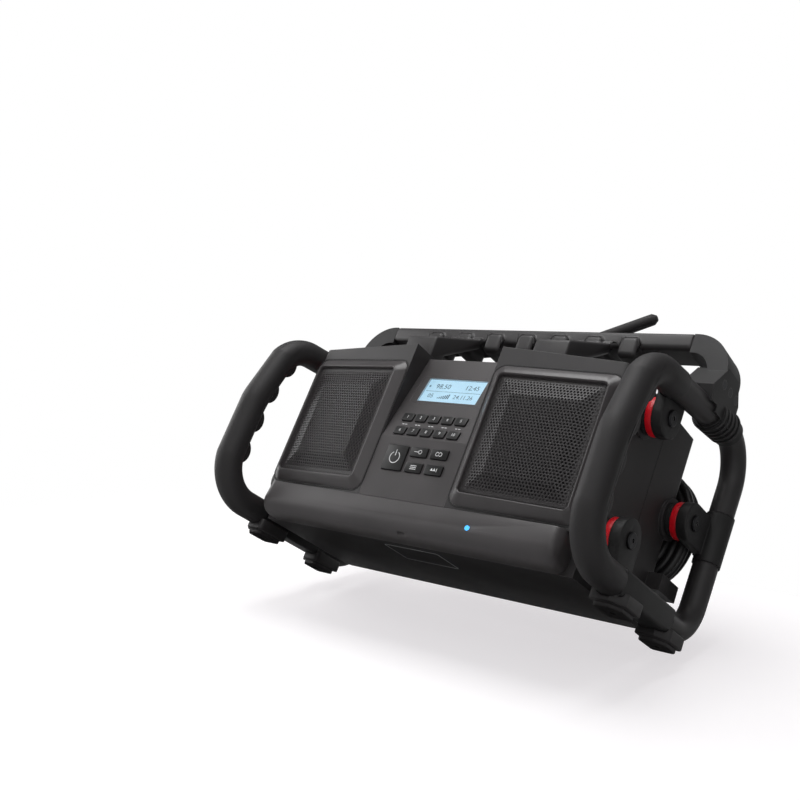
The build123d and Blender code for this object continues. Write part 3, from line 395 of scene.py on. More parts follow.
def turned(name, profile, matrix, vertices=32):
    """A closed turned form: a ring drawn up through (radius, height) steps."""
    bpy.ops.object.select_all(action="DESELECT")
    radius, height = profile[0]
    bpy.ops.mesh.primitive_circle_add(
        vertices=vertices, radius=radius, fill_type="NGON", location=(0, 0, height)
    )
    piece = bpy.context.object
    open_all()
    for next_radius, next_height in profile[1:]:
        bpy.ops.mesh.extrude_region_move(
            TRANSFORM_OT_translate={"value": (0, 0, next_height - height)}
        )
        scale = next_radius / radius
        bpy.ops.transform.resize(
            value=(scale, scale, 1), center_override=(0, 0, next_height)
        )
        radius, height = next_radius, next_height
    close_all()
    return settle(piece, name, matrix)


def slab(name, width, height, thickness, radius, matrix, segments=4):
    """A rounded plate standing on a plane, centred on its origin."""
    bpy.ops.object.select_all(action="DESELECT")
    bpy.ops.mesh.primitive_plane_add(size=1, location=(0, 0, 0))
    piece = bpy.context.object
    piece.scale = (width, height, 1)
    bpy.ops.object.transform_apply()
    open_all()
    if radius:
        bpy.ops.mesh.bevel(offset=radius, segments=segments, affect="VERTICES")
    bpy.ops.mesh.select_all(action="SELECT")
    bpy.ops.mesh.extrude_region_move(TRANSFORM_OT_translate={"value": (0, 0, thickness)})
    close_all()
    return settle(piece, name, matrix)


def surround(name, width, height, rim, thickness, radius, matrix):
    """A rounded frame with a plain opening; the rim is its width at the sides and ends."""
    beside, above = rim
    corner = radius + min(rim)
    outer = slab(name, width + 2 * beside, height + 2 * above, thickness, corner, matrix, 6)
    lower = matrix @ Matrix.Translation((0, 0, -thickness))
    opening = slab("opening", width, height, 3 * thickness, radius, lower, 6)
    cutter = outer.modifiers.new("Boolean", "BOOLEAN")
    cutter.object = opening
    cutter.operation = "DIFFERENCE"
    focus(outer)
    bpy.ops.object.modifier_apply(modifier=cutter.name)
    bpy.data.objects.remove(opening)
    return outer


# ---------- settings
class RadioColours(bpy.types.PropertyGroup):
    """Finishes that a user would change."""

    housing: bpy.props.StringProperty(
        name="Housing", description="Moulded housing", default="#2b292a"
    )
    # lighter than the housing, partly as painted light on the front faces
    panel: bpy.props.StringProperty(
        name="Panel", description="Control panel and nose", default="#3f3c3d"
    )
    tube: bpy.props.StringProperty(
        name="Tube", description="Coated frame tube", default="#2b292a"
    )
    grip: bpy.props.StringProperty(name="Grip", description="Hand grips", default="#252324")
    bracket: bpy.props.StringProperty(
        name="Bracket", description="Rails, brackets and feet", default="#171617"
    )
    ring: bpy.props.StringProperty(name="Ring", description="Mount rings", default="#e00b20")
    key: bpy.props.StringProperty(name="Key", description="Keys", default="#090809")
    legend: bpy.props.StringProperty(
        name="Legend", description="Printed marks", default="#d9dadb"
    )
    backlight: bpy.props.StringProperty(
        name="Backlight", description="Display backlight", default="#bfe6fb"
    )
    lamp: bpy.props.StringProperty(name="Lamp", description="Status lamp", default="#4fb4ff")


class RadioSizes(bpy.types.PropertyGroup):
    """Sizes that a user would change."""

    hole_pitch: bpy.props.FloatProperty(
        name="Hole pitch",
        description="Distance between the holes of the speaker grilles",
        default=3.0 * MM,
        unit="LENGTH",
    )
    hole_diameter: bpy.props.FloatProperty(
        name="Hole diameter",
        description="Diameter of the holes of the speaker grilles",
        default=2.15 * MM,
        unit="LENGTH",
    )
    key_edge: bpy.props.FloatProperty(
        name="Key edge", description="Rounding of the keys", default=0.5 * MM, unit="LENGTH"
    )
    cord_diameter: bpy.props.FloatProperty(
        name="Lead diameter",
        description="Outside diameter of the mains lead",
        default=7.0 * MM,
        unit="LENGTH",
    )


MATERIALS = {}


def make_materials():
    """Every finish of the radio, each named for what it is made of."""
    colours = bpy.context.scene.radio_colours
    # name, colour, roughness, grain and relief in mm, and what differs from the rest
    table = {
        # spark-eroded ABS: matt, with a fine even grain that softens every highlight
        "housing": ("abs_spark_eroded", colours.housing, 0.50, 1.3, 0.05, {}),
        # smoother ABS with a silkier shine on the face; its grey is lighter than the housing's,
        # partly as painted light on the front faces
        "panel": ("abs_satin_moulded", colours.panel, 0.42, 1.1, 0.025, {}),
        # polished-tool ABS surround, which catches a light line along its lip; it takes the panel's
        # grey with its painted light
        "bezel": ("abs_polished_surround", colours.panel, 0.32, 1.6, 0.01, {}),
        # cold-rolled steel, perforated and painted satin black
        "grille": ("painted_steel_perforated", "#2e2b2c", 0.42, 0.9, 0.01, {"edge": 0.2}),
        # powder-coated steel tube: slight orange peel about 2 mm across
        "tube": ("powder_coated_steel", colours.tube, 0.46, 2.0, 0.04, {}),
        # thermoplastic rubber, dull and dry to the touch
        "grip": ("tpe_overmoulded", colours.grip, 0.60, 1.2, 0.07, {"specular": 0.4}),
        # glass-filled nylon: dull, darker than the housing, faint flow marks
        "bracket": ("nylon_glass_filled", colours.bracket, 0.55, 1.5, 0.05, {}),
        # cast polyurethane, saturated red and slightly glossy
        "red_ring": ("polyurethane_cast", colours.ring, 0.38, 2.0, 0.01, {"worn": 0.05}),
        # vulcanised rubber, almost black and dull
        "rubber": ("rubber_vulcanised", "#131213", 0.72, 1.0, 0.06, {}),
        # black-oxide steel screws with a rubbed crown
        "screw": ("steel_black_oxide", "#3b3b3d", 0.42, 0.8, 0.01, {"metallic": 1, "worn": 0.4}),
        # keys of moulded ABS with a crisp grain
        "key": ("abs_key_moulded", colours.key, 0.40, 0.9, 0.02, {"edge": 0.3}),
        # pad-printed ink on the keys
        "legend": ("ink_pad_printed", colours.legend, 0.55, 0.5, 0.004, {"edge": 0, "worn": 0}),
        # doped paper of the loudspeaker cone
        "cone": ("paper_pulp_doped", "#060606", 0.70, 1.4, 0.1, {}),
        # stamped steel basket, painted black
        "basket": ("steel_stamped_painted", "#121213", 0.50, 1.2, 0.02, {}),
        # flexible PVC of the mains lead and its mouldings
        "lead": ("pvc_flexible", "#1b1a1b", 0.44, 1.5, 0.02, {"edge": 0.3}),
        # glass-epoxy circuit board
        "board": ("epoxy_glass_board", "#123a22", 0.45, 1.0, 0.01, {}),
        # dark segments of a liquid crystal, smooth under their film
        "segment": ("liquid_crystal_dark", "#27414f", 0.3, 1.0, 0.001, {"edge": 0, "worn": 0}),
    }
    for key, (*row, extra) in table.items():
        MATERIALS[key] = surface(*row, **extra)
    MATERIALS["backlight"] = glowing("film_backlit", colours.backlight, 0.95)
    MATERIALS["lamp"] = glowing("epoxy_lamp_blue", colours.lamp, 1.6)
    MATERIALS["cover"] = clear_cover("polycarbonate_clear")


# a name may stand for a left and a right solid
FINISH_OF = {
    "front_housing": "housing",
    "rear_housing": "housing",
    "nose_panel": "panel",
    "centre_panel": "panel",
    "top_handle": "housing",
    "battery_door": "housing",
    "aerial_base": "housing",
    "aerial": "grip",
    "feet": "housing",
    "mount_rings": "red_ring",
    "mount_rubbers": "rubber",
    "mount_screws": "screw",
    "cap_screws": "screw",
    "aerial_pin": "screw",
    "hinge_pin": "screw",
    "preset_board": "board",
    "function_board": "board",
    "status_lamp": "lamp",
    "display_module": "backlight",
    "frame_tube": "tube",
    "grille_bezel": "bezel",
    "grip": "grip",
    "handle_cap": "bracket",
    "mount_brackets": "bracket",
    "rail": "bracket",
    "speaker_basket": "basket",
    "speaker_cone": "cone",
}


# ---------- operators
class RADIO_OT_stage(bpy.types.Operator):
    """Camera, lamps, world and the pale floors"""

    bl_idname = "radio.stage"
    bl_label = "Stage"

    CAMERA_PLACE = Vector((0.5529, -0.6787, -0.1471))
    RIGHT = Vector((0.7814, 0.5269, 0.3343))
    UP = Vector((-0.0959, -0.4280, 0.8987))
    FORWARD = Vector((-0.6166, 0.7343, 0.2839))
    LENS, SENSOR, SHIFT = 45.86, 36.0, (-0.075, 0.075)
    # the middle of the radio, at which every lamp points
    MIDDLE = Vector((0, 0, 0.12))
    # direction from the middle, size and distance in m, and power in W
    LAMPS = {
        "key_lamp": (Vector((-0.08, -0.54, 0.84)), 0.8, 1.0, 9.5),
        "left_lamp": (Vector((-0.95, -0.30, 0.15)), 0.7, 1.0, 5.0),
        "fill_lamp": (UP * 0.25 - FORWARD, 1.8, 1.9, 7.5),
        "under_lamp": (Vector((0.1, -0.35, -0.8)), 1.6, 1.2, 7.0),
        "rear_lamp": (Vector((0.05, 1.0, 0.35)), 1.2, 1.6, 2.4),
    }
    # what "up" is for the radio as it is shown, tipped onto its rear bends
    TRUE_UP = Vector((0, -0.536, 0.844)).normalized()
    LOWEST_BEND, BEND_DROP = Vector((0, 0.0905, 0.0125)), 0.012
    # low enough behind the radio that a level view never looks up at the tipped floor
    TIPPED_TOP = 0.13
    # what the camera sees of the paint beyond its lit share, and where the paint fades out
    LIFT, FADE_START, FADE_END = (0.63, 0.61, 0.625, 1), 0.35, 0.85

    def execute(self, context):
        scene = context.scene
        scene.view_settings.view_transform = "Standard"
        data = bpy.data.cameras.new("camera")
        camera = linked("camera", data)
        matrix = Matrix((self.RIGHT, self.UP, -self.FORWARD)).transposed().to_4x4()
        matrix.translation = self.CAMERA_PLACE
        camera.matrix_world = matrix
        data.lens, data.sensor_width = self.LENS, self.SENSOR
        data.shift_x, data.shift_y = self.SHIFT
        data.clip_start = 0.01
        scene.camera = camera

        for name, (direction, size, distance, power) in self.LAMPS.items():
            lamp = bpy.data.lights.new(name, "AREA")
            lamp.shape = "SQUARE"
            lamp.size = size
            lamp.energy = power
            holder = linked(name, lamp)
            away = direction.normalized()
            holder.location = self.MIDDLE + away * distance
            holder.rotation_euler = away.to_track_quat("Z", "Y").to_euler()

        world = bpy.data.worlds.new("studio")
        scene.world = world
        world.use_nodes = True
        tree = world.node_tree
        tree.nodes.clear()
        path = add_node(tree, "ShaderNodeLightPath")
        seen = add_node(
            tree,
            "ShaderNodeMath",
            {0: path.outputs["Is Camera Ray"], 1: path.outputs["Is Transmission Ray"]},
            operation="MAXIMUM",
        )
        level = add_node(
            tree,
            "ShaderNodeMapRange",
            {"Value": seen.outputs[0]},
            {"To Min": 0.2, "To Max": 1.0},
        )
        light = add_node(
            tree,
            "ShaderNodeBackground",
            {"Strength": level.outputs[0]},
            {"Color": linear("#ffffff")},
        )
        add_node(tree, "ShaderNodeOutputWorld", {"Surface": light.outputs[0]})

        floor_material = self.floor_material()
        under_bend = self.LOWEST_BEND - self.TRUE_UP * self.BEND_DROP
        level = plane((0, 0, 0), (1, 0, 0), (0, 1, 0))
        tipped = plane(under_bend, (1, 0, 0), self.TRUE_UP.cross((1, 0, 0)))
        for name, matrix, size in (("floor_level", level, 6.0), ("floor_tipped", tipped, 3.0)):
            bpy.ops.object.select_all(action="DESELECT")
            bpy.ops.mesh.primitive_plane_add(size=size)
            floor = settle(bpy.context.object, name, matrix)
            if name == "floor_tipped":
                open_all()
                bpy.ops.mesh.bisect(
                    plane_co=(0, 0, self.TIPPED_TOP), plane_no=(0, 0, 1), clear_outer=True
                )
                bpy.ops.object.mode_set(mode="OBJECT")
            floor.data.materials.append(floor_material)
        return {"FINISHED"}

    def floor_material(self):
        """White paint that is open from below and to lamps.

        Above the level floor it shows only to a ray that climbs, so that the tipped floor
        is seen from under the radio and from nowhere else.
        """
        made, tree, output = new_material("emulsion_white")
        path = add_node(tree, "ShaderNodeLightPath")
        side = add_node(tree, "ShaderNodeNewGeometry")
        tone = drifting(tree, 40.0, 2.0, 0.49, 0.51)
        paint = add_node(tree, "ShaderNodeBsdfDiffuse", {"Color": tone})
        lift = add_node(
            tree,
            "ShaderNodeEmission",
            {"Strength": path.outputs["Is Camera Ray"]},
            {"Color": self.LIFT},
        )
        lit = add_node(tree, "ShaderNodeAddShader", {0: paint.outputs[0], 1: lift.outputs[0]})
        heights = add_node(tree, "ShaderNodeSeparateXYZ", {0: side.outputs["Position"]})
        ways = add_node(tree, "ShaderNodeSeparateXYZ", {0: side.outputs["Incoming"]})
        above, falling = (
            add_node(tree, "ShaderNodeMath", {0: value}, {1: limit}, operation="GREATER_THAN")
            for value, limit in ((heights.outputs["Z"], 0.5 * MM), (ways.outputs["Z"], -0.02))
        )
        hidden = add_node(
            tree,
            "ShaderNodeMath",
            {0: above.outputs[0], 1: falling.outputs[0]},
            operation="MULTIPLY",
        )
        through = side.outputs["Backfacing"]
        for reason in (path.outputs["Is Shadow Ray"], hidden.outputs[0]):
            more = add_node(tree, "ShaderNodeMath", {0: through, 1: reason}, operation="MAXIMUM")
            through = more.outputs[0]
        # far from the radio the paint fades into the pale surroundings
        away = add_node(
            tree, "ShaderNodeVectorMath", {0: side.outputs["Position"]}, operation="LENGTH"
        )
        fade = add_node(
            tree,
            "ShaderNodeMapRange",
            {"Value": away.outputs["Value"]},
            {"From Min": self.FADE_START, "From Max": self.FADE_END},
            interpolation_type="SMOOTHSTEP",
        )
        hole = add_node(tree, "ShaderNodeBsdfTransparent")
        seen = lit.outputs[0]
        for share in (through, fade.outputs[0]):
            links = {0: share, 1: seen, 2: hole.outputs[0]}
            seen = add_node(tree, "ShaderNodeMixShader", links).outputs[0]
        tree.links.new(seen, output.inputs["Surface"])
        return made


LEAD_EXIT = (128.2, 84.5, 118.0)
# the first half turn passes behind the others, close to the housing
ENTRY_MIDDLE, ENTRY_RADIUS, ENTRY_DEPTH = 110.2, 30.0, 7.0
TAIL_ROUTE = [
    (99.0, 99.4, 162.0),
    (81.0, 102.5, 152.4),
    (72.5, 107.0, 133.0),
    (71.5, 108.0, 110.0),
]
COIL_MIDDLE = (120.0, 105.5)
COIL_HALF = (59.0, 60.0)
COIL_CORNER = 48.0
COIL_FIRST_LAYER = 84.5


def entry_points():
    """Control points from the strain relief to the foot of the innermost turn, in mm."""
    y, z = LEAD_EXIT[1:]
    points = [LEAD_EXIT]
    for step in range(7):
        angle = radians(93 + 30 * step)
        share = step / 6
        points.append(
            (
                ENTRY_MIDDLE + ENTRY_RADIUS * cos(angle),
                y - ENTRY_DEPTH * share * share * (3 - 2 * share),
                z - ENTRY_RADIUS + ENTRY_RADIUS * sin(angle),
            )
        )
    return points


def coil_points(diameter):
    """Control points of the wound lead, in mm: three layers of three turns on two hooks."""
    quadrants = ((1, -1, 270), (1, 1, 0), (-1, 1, 90), (-1, -1, 180))
    first, second, third = ((layer,) * 4 for layer in range(3))
    # ring (0 outside) before and after each corner and its layers, from the lower right on
    visits = [(2, 2, (-0.95, -0.72, -0.45, -0.2)), (2, 2, (-0.05, 0, 0, 0)), (2, 1, first)]
    visits += [(1, 1, first)] * 3 + [(1, 0, first)]
    visits += [(0, 0, first)] * 2 + [(0, 0, (0, 0, 0.1, 0.25)), (0, 0, (0.75, 0.9, 1, 1))]
    visits += [(0, 0, second)] * 2 + [(0, 1, second)]
    visits += [(1, 1, second)] * 3 + [(1, 2, second)]
    visits += [(2, 2, second)] * 2 + [(2, 2, (1, 1, 1.1, 1.25)), (2, 2, (1.75, 1.9, 2, 2))]
    visits += [(2, 2, third)] * 2 + [(2, 1, third)]
    visits += [(1, 1, third)] * 3 + [(1, 0, third)]
    visits += [(0, 0, third)]
    points = []
    for number, (before, after, layers) in enumerate(visits):
        across, up, start = quadrants[number % 4]
        for step, layer in enumerate(layers):
            ring = before + (after - before) * step / 3
            inset = diameter * (ring + 0.5)
            corner = COIL_CORNER - inset
            angle = radians(start + 30 * step)
            points.append(
                (
                    COIL_MIDDLE[0] + across * (COIL_HALF[0] - inset - corner) + corner * cos(angle),
                    COIL_FIRST_LAYER + layer * diameter,
                    COIL_MIDDLE[1] + up * (COIL_HALF[1] - inset - corner) + corner * sin(angle),
                )
            )
    return points


class RADIO_OT_lead(bpy.types.Operator):
    """Mains lead wound on its two hooks, with its strain relief and plug"""

    bl_idname = "radio.lead"
    bl_label = "Mains lead"

    def execute(self, context):
        diameter = context.scene.radio_sizes.cord_diameter
        route = entry_points() + coil_points(diameter / MM) + TAIL_ROUTE
        curve = bpy.data.curves.new("mains_lead", "CURVE")
        curve.dimensions = "3D"
        curve.bevel_depth = diameter / 2
        curve.bevel_resolution = 3
        curve.resolution_u = 5
        curve.use_fill_caps = True
        spline = curve.splines.new("NURBS")
        spline.points.add(len(route) - 1)
        for point, place in zip(spline.points, route):
            point.co = (*(value * MM for value in place), 1)
        spline.order_u = 3
        spline.use_endpoint_u = True
        length = self.length_of(curve)
        lead = linked("mains_lead", curve)
        finish_piece(
            lead, MATERIALS["lead"], MAIN, ["cord_lead", "cord_coil", "cord_tail"]
        )
        relief = self.relief()
        plug = softened("mains_plug", "plug", 0.4 * MM, MATERIALS["lead"], 50, 2)
        return {"FINISHED"}

    @staticmethod
    def length_of(curve):
        """Length of the curve's own line, read with its thickness off."""
        line = curve.copy()
        line.bevel_depth = 0
        holder = linked("line", line)
        mesh = bpy.data.meshes.new_from_object(holder)
        places = [v.co.copy() for v in mesh.vertices]
        bpy.data.objects.remove(holder)
        bpy.data.meshes.remove(mesh)
        return sum((b - a).length for a, b in zip(places, places[1:]))

    @staticmethod
    def relief():
        """Ribbed, tapered strain relief on its box at the back of the housing."""
        low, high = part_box("cord_gland")
        length, wide, narrow, groove = 20.0 * MM, 6.0 * MM, 3.5 * MM, 0.9 * MM
        x, y, z = (value * MM for value in LEAD_EXIT)
        profile = [(0.3 * MM, 0), (wide, 0)]
        for number in range(6):
            start = (1.2 + number * 3.1) * MM
            rib = wide - number * 0.33 * MM
            profile += [
                (rib, start),
                (rib - groove, start + 0.3 * MM),
                (rib - groove, start + 1.3 * MM),
                (rib - 0.33 * MM, start + 1.6 * MM),
            ]
        profile += [(4.2 * MM, 19.9 * MM), (narrow, length), (0.3 * MM, length)]
        cone = turned("relief_cone", profile, plane((x + length, y, z), (0, 0, 1), (0, 1, 0)))
        box = slab(
            "relief_box",
            high.z - low.z,
            8.0 * MM,
            high.y - low.y,
            1.2 * MM,
            plane((high.x - 4.0 * MM, low.y, (low.z + high.z) / 2), (0, 0, 1), (1, 0, 0)),
        )
        apply_modifier(box, "BEVEL", width=0.5 * MM, segments=2, limit_method="ANGLE")
        piece = joined([box, cone], "strain_relief")
        return finish_piece(piece, MATERIALS["lead"], MAIN, "cord_gland")


class RADIO_OT_finishes(bpy.types.Operator):
    """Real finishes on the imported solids, with softened copies where edges show"""

    bl_idname = "radio.finishes"
    bl_label = "Finishes"

    # solid, record slot, rounding in mm, sharpest angle left alone
    SOFTENED = (
        ("grille_bezel", "bezel", 0.9, 50),
        ("top_handle", "handle", 2.2, 50),
        ("rail", "bracket", 1.0, 50),
        ("mount_brackets", "bracket", 1.2, 60),
        ("feet", "rubber", 1.2, 50),
        ("battery_door", "door", 0.8, 50),
        ("aerial_base", "aerial", 1.0, 50),
        ("nose_panel", "panel", 0.5, 50),
        ("mount_rings", "red_ring", 0.9, 60),
        ("mount_rubbers", "rubber", 0.6, 60),
    )

    def execute(self, context):
        names = dict(FINISH_OF)
        for kind in list(names):
            if f"left_{kind}" in NODES:
                finish = names.pop(kind)
                names.update({f"{side}_{kind}": finish for side in SIDES})
        for node, finish in names.items():
            for holder in NODES[node].material_slots:
                holder.material = MATERIALS[finish]
        for kind, slot, width, angle in self.SOFTENED:
            for node in [kind] if kind in NODES else [f"{side}_{kind}" for side in SIDES]:
                name = f"{node}_body"
                softened(node, name, width * MM, MATERIALS[names[node]], angle)
        return {"FINISHED"}


class RADIO_OT_grips(bpy.types.Operator):
    """Hand grips, plain and round in front, with finger ridges behind"""

    bl_idname = "radio.grips"
    bl_label = "Grips"

    # the grip leans back above the knee, over this height and by this much
    KNEE, LEANING_PART, LEAN_BACK = 114.0 * MM, 62.0 * MM, 15.1 * MM
    # the part that a palm holds, and how far round from the front it is kept plain
    LOW, HIGH, FRONT = 53.0 * MM, 176.0 * MM, 4.0 * MM
    # what stands out past the first share of the radius is drawn in to the second
    PROUD, PLAIN = 0.99, 0.985

    def execute(self, context):
        for hand in SIDES:
            piece = copy_of(f"{hand}_grip", f"{hand}_grip_body")
            low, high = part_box(f"{hand}_grip")
            middle = (low.x + high.x) / 2
            radius = (high.x - low.x) / 2
            for vertex in piece.data.vertices:
                height = vertex.co.z
                lean = self.LEAN_BACK * min(max((height - self.KNEE) / self.LEANING_PART, 0), 1)
                centre = Vector((middle, low.y + radius + lean, height))
                away = vertex.co - centre
                held = self.LOW < height < self.HIGH and away.y < self.FRONT
                if held and away.length > radius * self.PROUD:
                    vertex.co = centre + away.normalized() * radius * self.PLAIN
            apply_modifier(
                piece,
                "BEVEL",
                width=0.7 * MM,
                segments=2,
                limit_method="ANGLE",
                angle_limit=radians(50),
            )
            finish_piece(piece, MATERIALS["grip"], MAIN, f"{hand}_grip")
        return {"FINISHED"}


class RADIO_OT_rear(bpy.types.Operator):
    """Screws, door ribs and bare plate of the housing, with dark strips of painted shade along its
    parting line and round the bezels
    """

    bl_idname = "radio.rear"
    bl_label = "Rear and lines"

    BACK_Y = FACE_Y + 145.0 * MM
    # places of the case screws, and the steps of a well and a head, in mm
    SCREWS = ((-152, 178), (-152, 28), (152, 28), (152, 176), (0, 178), (0, 28))
    WELL = ((5.6, 0), (5.6, 0.7), (5.0, 1.0), (3.9, 1.0), (3.4, 0.3))
    HEAD = ((3.1, 0), (3.1, 0.5), (2.4, 0.9))
    PLATE_PLACE, PLATE_SIZE = (2.0 * MM, -26.0 * MM, 14.0 * MM), (58.0 * MM, 34.0 * MM)
    DOOR_MIDDLE = (-62.0 * MM, 102.0 * MM)
    RIBS, RIB_PITCH, RIB_LOWEST = 6, 8.0 * MM, -22.0 * MM
    RIB_SIZE = (74.0 * MM, 2.4 * MM, 0.9 * MM, 1.1 * MM)
    # place and size of a near-black strip of painted shade along the parting line
    SEAM_PLACE, SEAM_SIZE = (15.0 * MM, 99.8 * MM), (0.8 * MM, 171.0 * MM, 0.06 * MM)
    CONE_EDGE = 51.0 * MM

    def execute(self, context):
        rear = plane((0, self.BACK_Y, 0), (-1, 0, 0), (0, 0, 1))
        for steps, name, finish in (
            (self.WELL, "screw_wells", "housing"),
            (self.HEAD, "case_screws", "screw"),
        ):
            profile = [(radius * MM, height * MM) for radius, height in steps]
            places = [Matrix.Translation((-x * MM, z * MM, 0)) for x, z in self.SCREWS]
            rounds = [turned("round", profile, rear @ place) for place in places]
            finish_piece(joined(rounds, name), MATERIALS[finish])
        below = plane(self.PLATE_PLACE, (1, 0, 0), (0, -1, 0))
        line = (0.7 * MM, 0.7 * MM)
        plate = surround("bare_plate", *self.PLATE_SIZE, line, 0.15 * MM, 2 * MM, below)
        finish_piece(plate, MATERIALS["legend"])
        x, z = self.DOOR_MIDDLE
        door = plane((x, self.BACK_Y, z), (-1, 0, 0), (0, 0, 1))
        rises = [self.RIB_LOWEST + number * self.RIB_PITCH for number in range(self.RIBS)]
        ribs = [
            slab("rib", *self.RIB_SIZE, door @ Matrix.Translation((0, rise, 0)))
            for rise in rises
        ]
        body = body_of(NODES["battery_door"])[0]
        finish_piece(joined(ribs, "door_ribs"), MATERIALS["housing"], body)
        for side, hand in zip((-1, 1), SIDES):
            # on each side a near-black strip is painted shade in the gap of the parting line
            edge = plane((side * HALF_WIDTH, *self.SEAM_PLACE), (0, side, 0), (0, 0, 1))
            seam_shade = slab(f"{hand}_painted_seam_shade", *self.SEAM_SIZE, 0.3 * MM, edge)
            finish_piece(seam_shade, MATERIALS["rubber"])
            pod = pod_plane(side)
            # a near-black ring round each bezel is painted shade in the groove between bezel and
            # pod
            line = (1.3 * MM, 1.3 * MM)
            groove = surround(f"{hand}_bezel_shade_line", *BEZEL_SIZE, line, 0.12 * MM, 10 * MM, pod)
            finish_piece(groove, MATERIALS["rubber"])
            gasket = mark_ring(self.CONE_EDGE, 5 * MM, (0, 0), pod, 0.1 * MM)
            gasket.name = f"{hand}_gasket"
            finish_piece(gasket, MATERIALS["grille"])
        return {"FINISHED"}


class RADIO_OT_grilles(bpy.types.Operator):
    """Perforated, pressed speaker grilles"""

    bl_idname = "radio.grilles"
    bl_label = "Speaker grilles"

    WIDTH, HEIGHT, CORNER = 99.0 * MM, 106.0 * MM, 4.0 * MM
    CLAMP, SHEET, LEDGE, SLOPE, DISH = 2.5 * MM, 1.2 * MM, 3.0 * MM, 15.0 * MM, 3.6 * MM
    TRIM, HEM = 0.6 * MM, 1.6 * MM

    def execute(self, context):
        sizes = context.scene.radio_sizes
        flat = self.perforated(sizes.hole_pitch, sizes.hole_diameter)
        for side, hand in zip((-1, 1), SIDES):
            piece = linked("pressed", flat.data.copy())
            self.press(piece)
            apply_modifier(piece, "SOLIDIFY", thickness=self.SHEET * 0.8, offset=-1)
            name = f"{hand}_grille_sheet"
            piece = settle(joined([piece, self.hem()], name), name, pod_plane(side))
            finish_piece(
                piece, MATERIALS["grille"], MAIN, f"{hand}_speaker_grille", angle=30
            )
        bpy.data.objects.remove(flat)
        return {"FINISHED"}

    def perforated(self, pitch, diameter):
        """Flat sheet with staggered round holes, cut to the size of the grille."""
        bpy.ops.object.select_all(action="DESELECT")
        bpy.ops.mesh.primitive_circle_add(vertices=12, radius=pitch / sqrt(3))
        cell = bpy.context.object
        bpy.ops.object.mode_set(mode="EDIT")
        mesh = bmesh.from_edit_mesh(cell.data)
        mesh.verts.ensure_lookup_table()
        # every second corner is drawn in, which leaves a hexagon of twelve points
        for vertex in mesh.verts:
            vertex.select_set(vertex.index % 2 == 1)
        mesh.select_flush_mode()
        bmesh.update_edit_mesh(cell.data)
        bpy.ops.transform.resize(value=(cos(pi / 6), cos(pi / 6), 1), center_override=(0, 0, 0))
        bpy.ops.mesh.select_all(action="DESELECT")
        bpy.ops.mesh.primitive_circle_add(vertices=12, radius=diameter / 2)
        bpy.ops.mesh.select_all(action="SELECT")
        bpy.ops.mesh.bridge_edge_loops()
        bpy.ops.object.mode_set(mode="OBJECT")
        row = pitch * sqrt(3) / 2
        columns = int(self.WIDTH / pitch) + 3
        rows = int(self.HEIGHT / row / 2) + 2
        second = linked("second", cell.data.copy())
        second.location = (pitch / 2, row, 0)
        sheet = joined([cell, second], "sheet")
        for count, offset in ((columns, (pitch, 0, 0)), (rows, (0, 2 * row, 0))):
            apply_modifier(
                sheet,
                "ARRAY",
                count=count,
                use_relative_offset=False,
                use_constant_offset=True,
                constant_offset_displace=offset,
                use_merge_vertices=True,
                merge_threshold=0.01 * MM,
            )
        to_middle = (-(columns - 0.5) * pitch / 2, -(rows - 0.5) * row, 0)
        settle(sheet, "sheet", Matrix.Translation(to_middle))
        bpy.ops.object.mode_set(mode="EDIT")
        wide, tall = self.WIDTH / 2 - self.TRIM, self.HEIGHT / 2 - self.TRIM
        cuts = [
            ((wide, 0), (1, 0)),
            ((-wide, 0), (-1, 0)),
            ((0, tall), (0, 1)),
            ((0, -tall), (0, -1)),
        ]
        chamfer = self.CORNER * 0.6
        for x in (1, -1):
            for y in (1, -1):
                corner = (x * (self.WIDTH / 2 - chamfer), y * self.HEIGHT / 2)
                cuts.append((corner, (x, y)))
        for place, normal in cuts:
            bpy.ops.mesh.select_all(action="SELECT")
            bpy.ops.mesh.bisect(
                plane_co=(*place, 0), plane_no=(*normal, 0), clear_outer=True
            )
        close_all()
        if sum(face.normal.z for face in sheet.data.polygons) < 0:
            sheet.data.flip_normals()
        return sheet

    def height(self, x, y):
        """Height of the pressed sheet's outside above the pod."""
        inward = min(self.WIDTH / 2 - abs(x), self.HEIGHT / 2 - abs(y))
        rise = min(max((inward - self.LEDGE) / self.SLOPE, 0), 1)
        soft = 0.06
        eased = rise + soft * (sin(pi * rise) ** 2) * (0.5 - rise) * 2
        return self.CLAMP + self.SHEET + self.DISH * eased

    def press(self, piece):
        """Draws the flat sheet up into its dish."""
        for vertex in piece.data.vertices:
            vertex.co.z = self.height(vertex.co.x, vertex.co.y)

    def hem(self):
        """Plain border of the sheet."""
        outer = slab(
            "hem", self.WIDTH, self.HEIGHT, self.SHEET, self.CORNER, Matrix.Identity(4), 6
        )
        bpy.ops.object.mode_set(mode="EDIT")
        mesh = bmesh.from_edit_mesh(outer.data)
        for face in mesh.faces:
            face.select_set(abs(face.normal.z) > 0.9)
        bmesh.update_edit_mesh(outer.data)
        bpy.ops.mesh.inset(thickness=self.HEM, depth=0)
        bpy.ops.mesh.bridge_edge_loops()
        bpy.ops.object.mode_set(mode="OBJECT")
        return settle(outer, "hem", Matrix.Translation((0, 0, self.CLAMP)))


def mark_text(words, size, place, on_plane, height):
    """Flat printed figures on a plane."""
    data = bpy.data.curves.new("figures", "FONT")
    data.body = words
    data.size = size
    data.align_x = "CENTER"
    data.align_y = "CENTER"
    data.resolution_u = 3
    data.extrude = INK_THICKNESS / 2
    piece = linked("figures", data)
    piece.location = (*place, height)
    bpy.context.view_layer.update()
    return settle(piece, "figures", on_plane)


def mark_bar(width, height, place, on_plane, lift):
    """A printed bar."""
    offset = Matrix.Translation((*place, lift))
    return slab("bar", width, height, INK_THICKNESS, 0, on_plane @ offset)


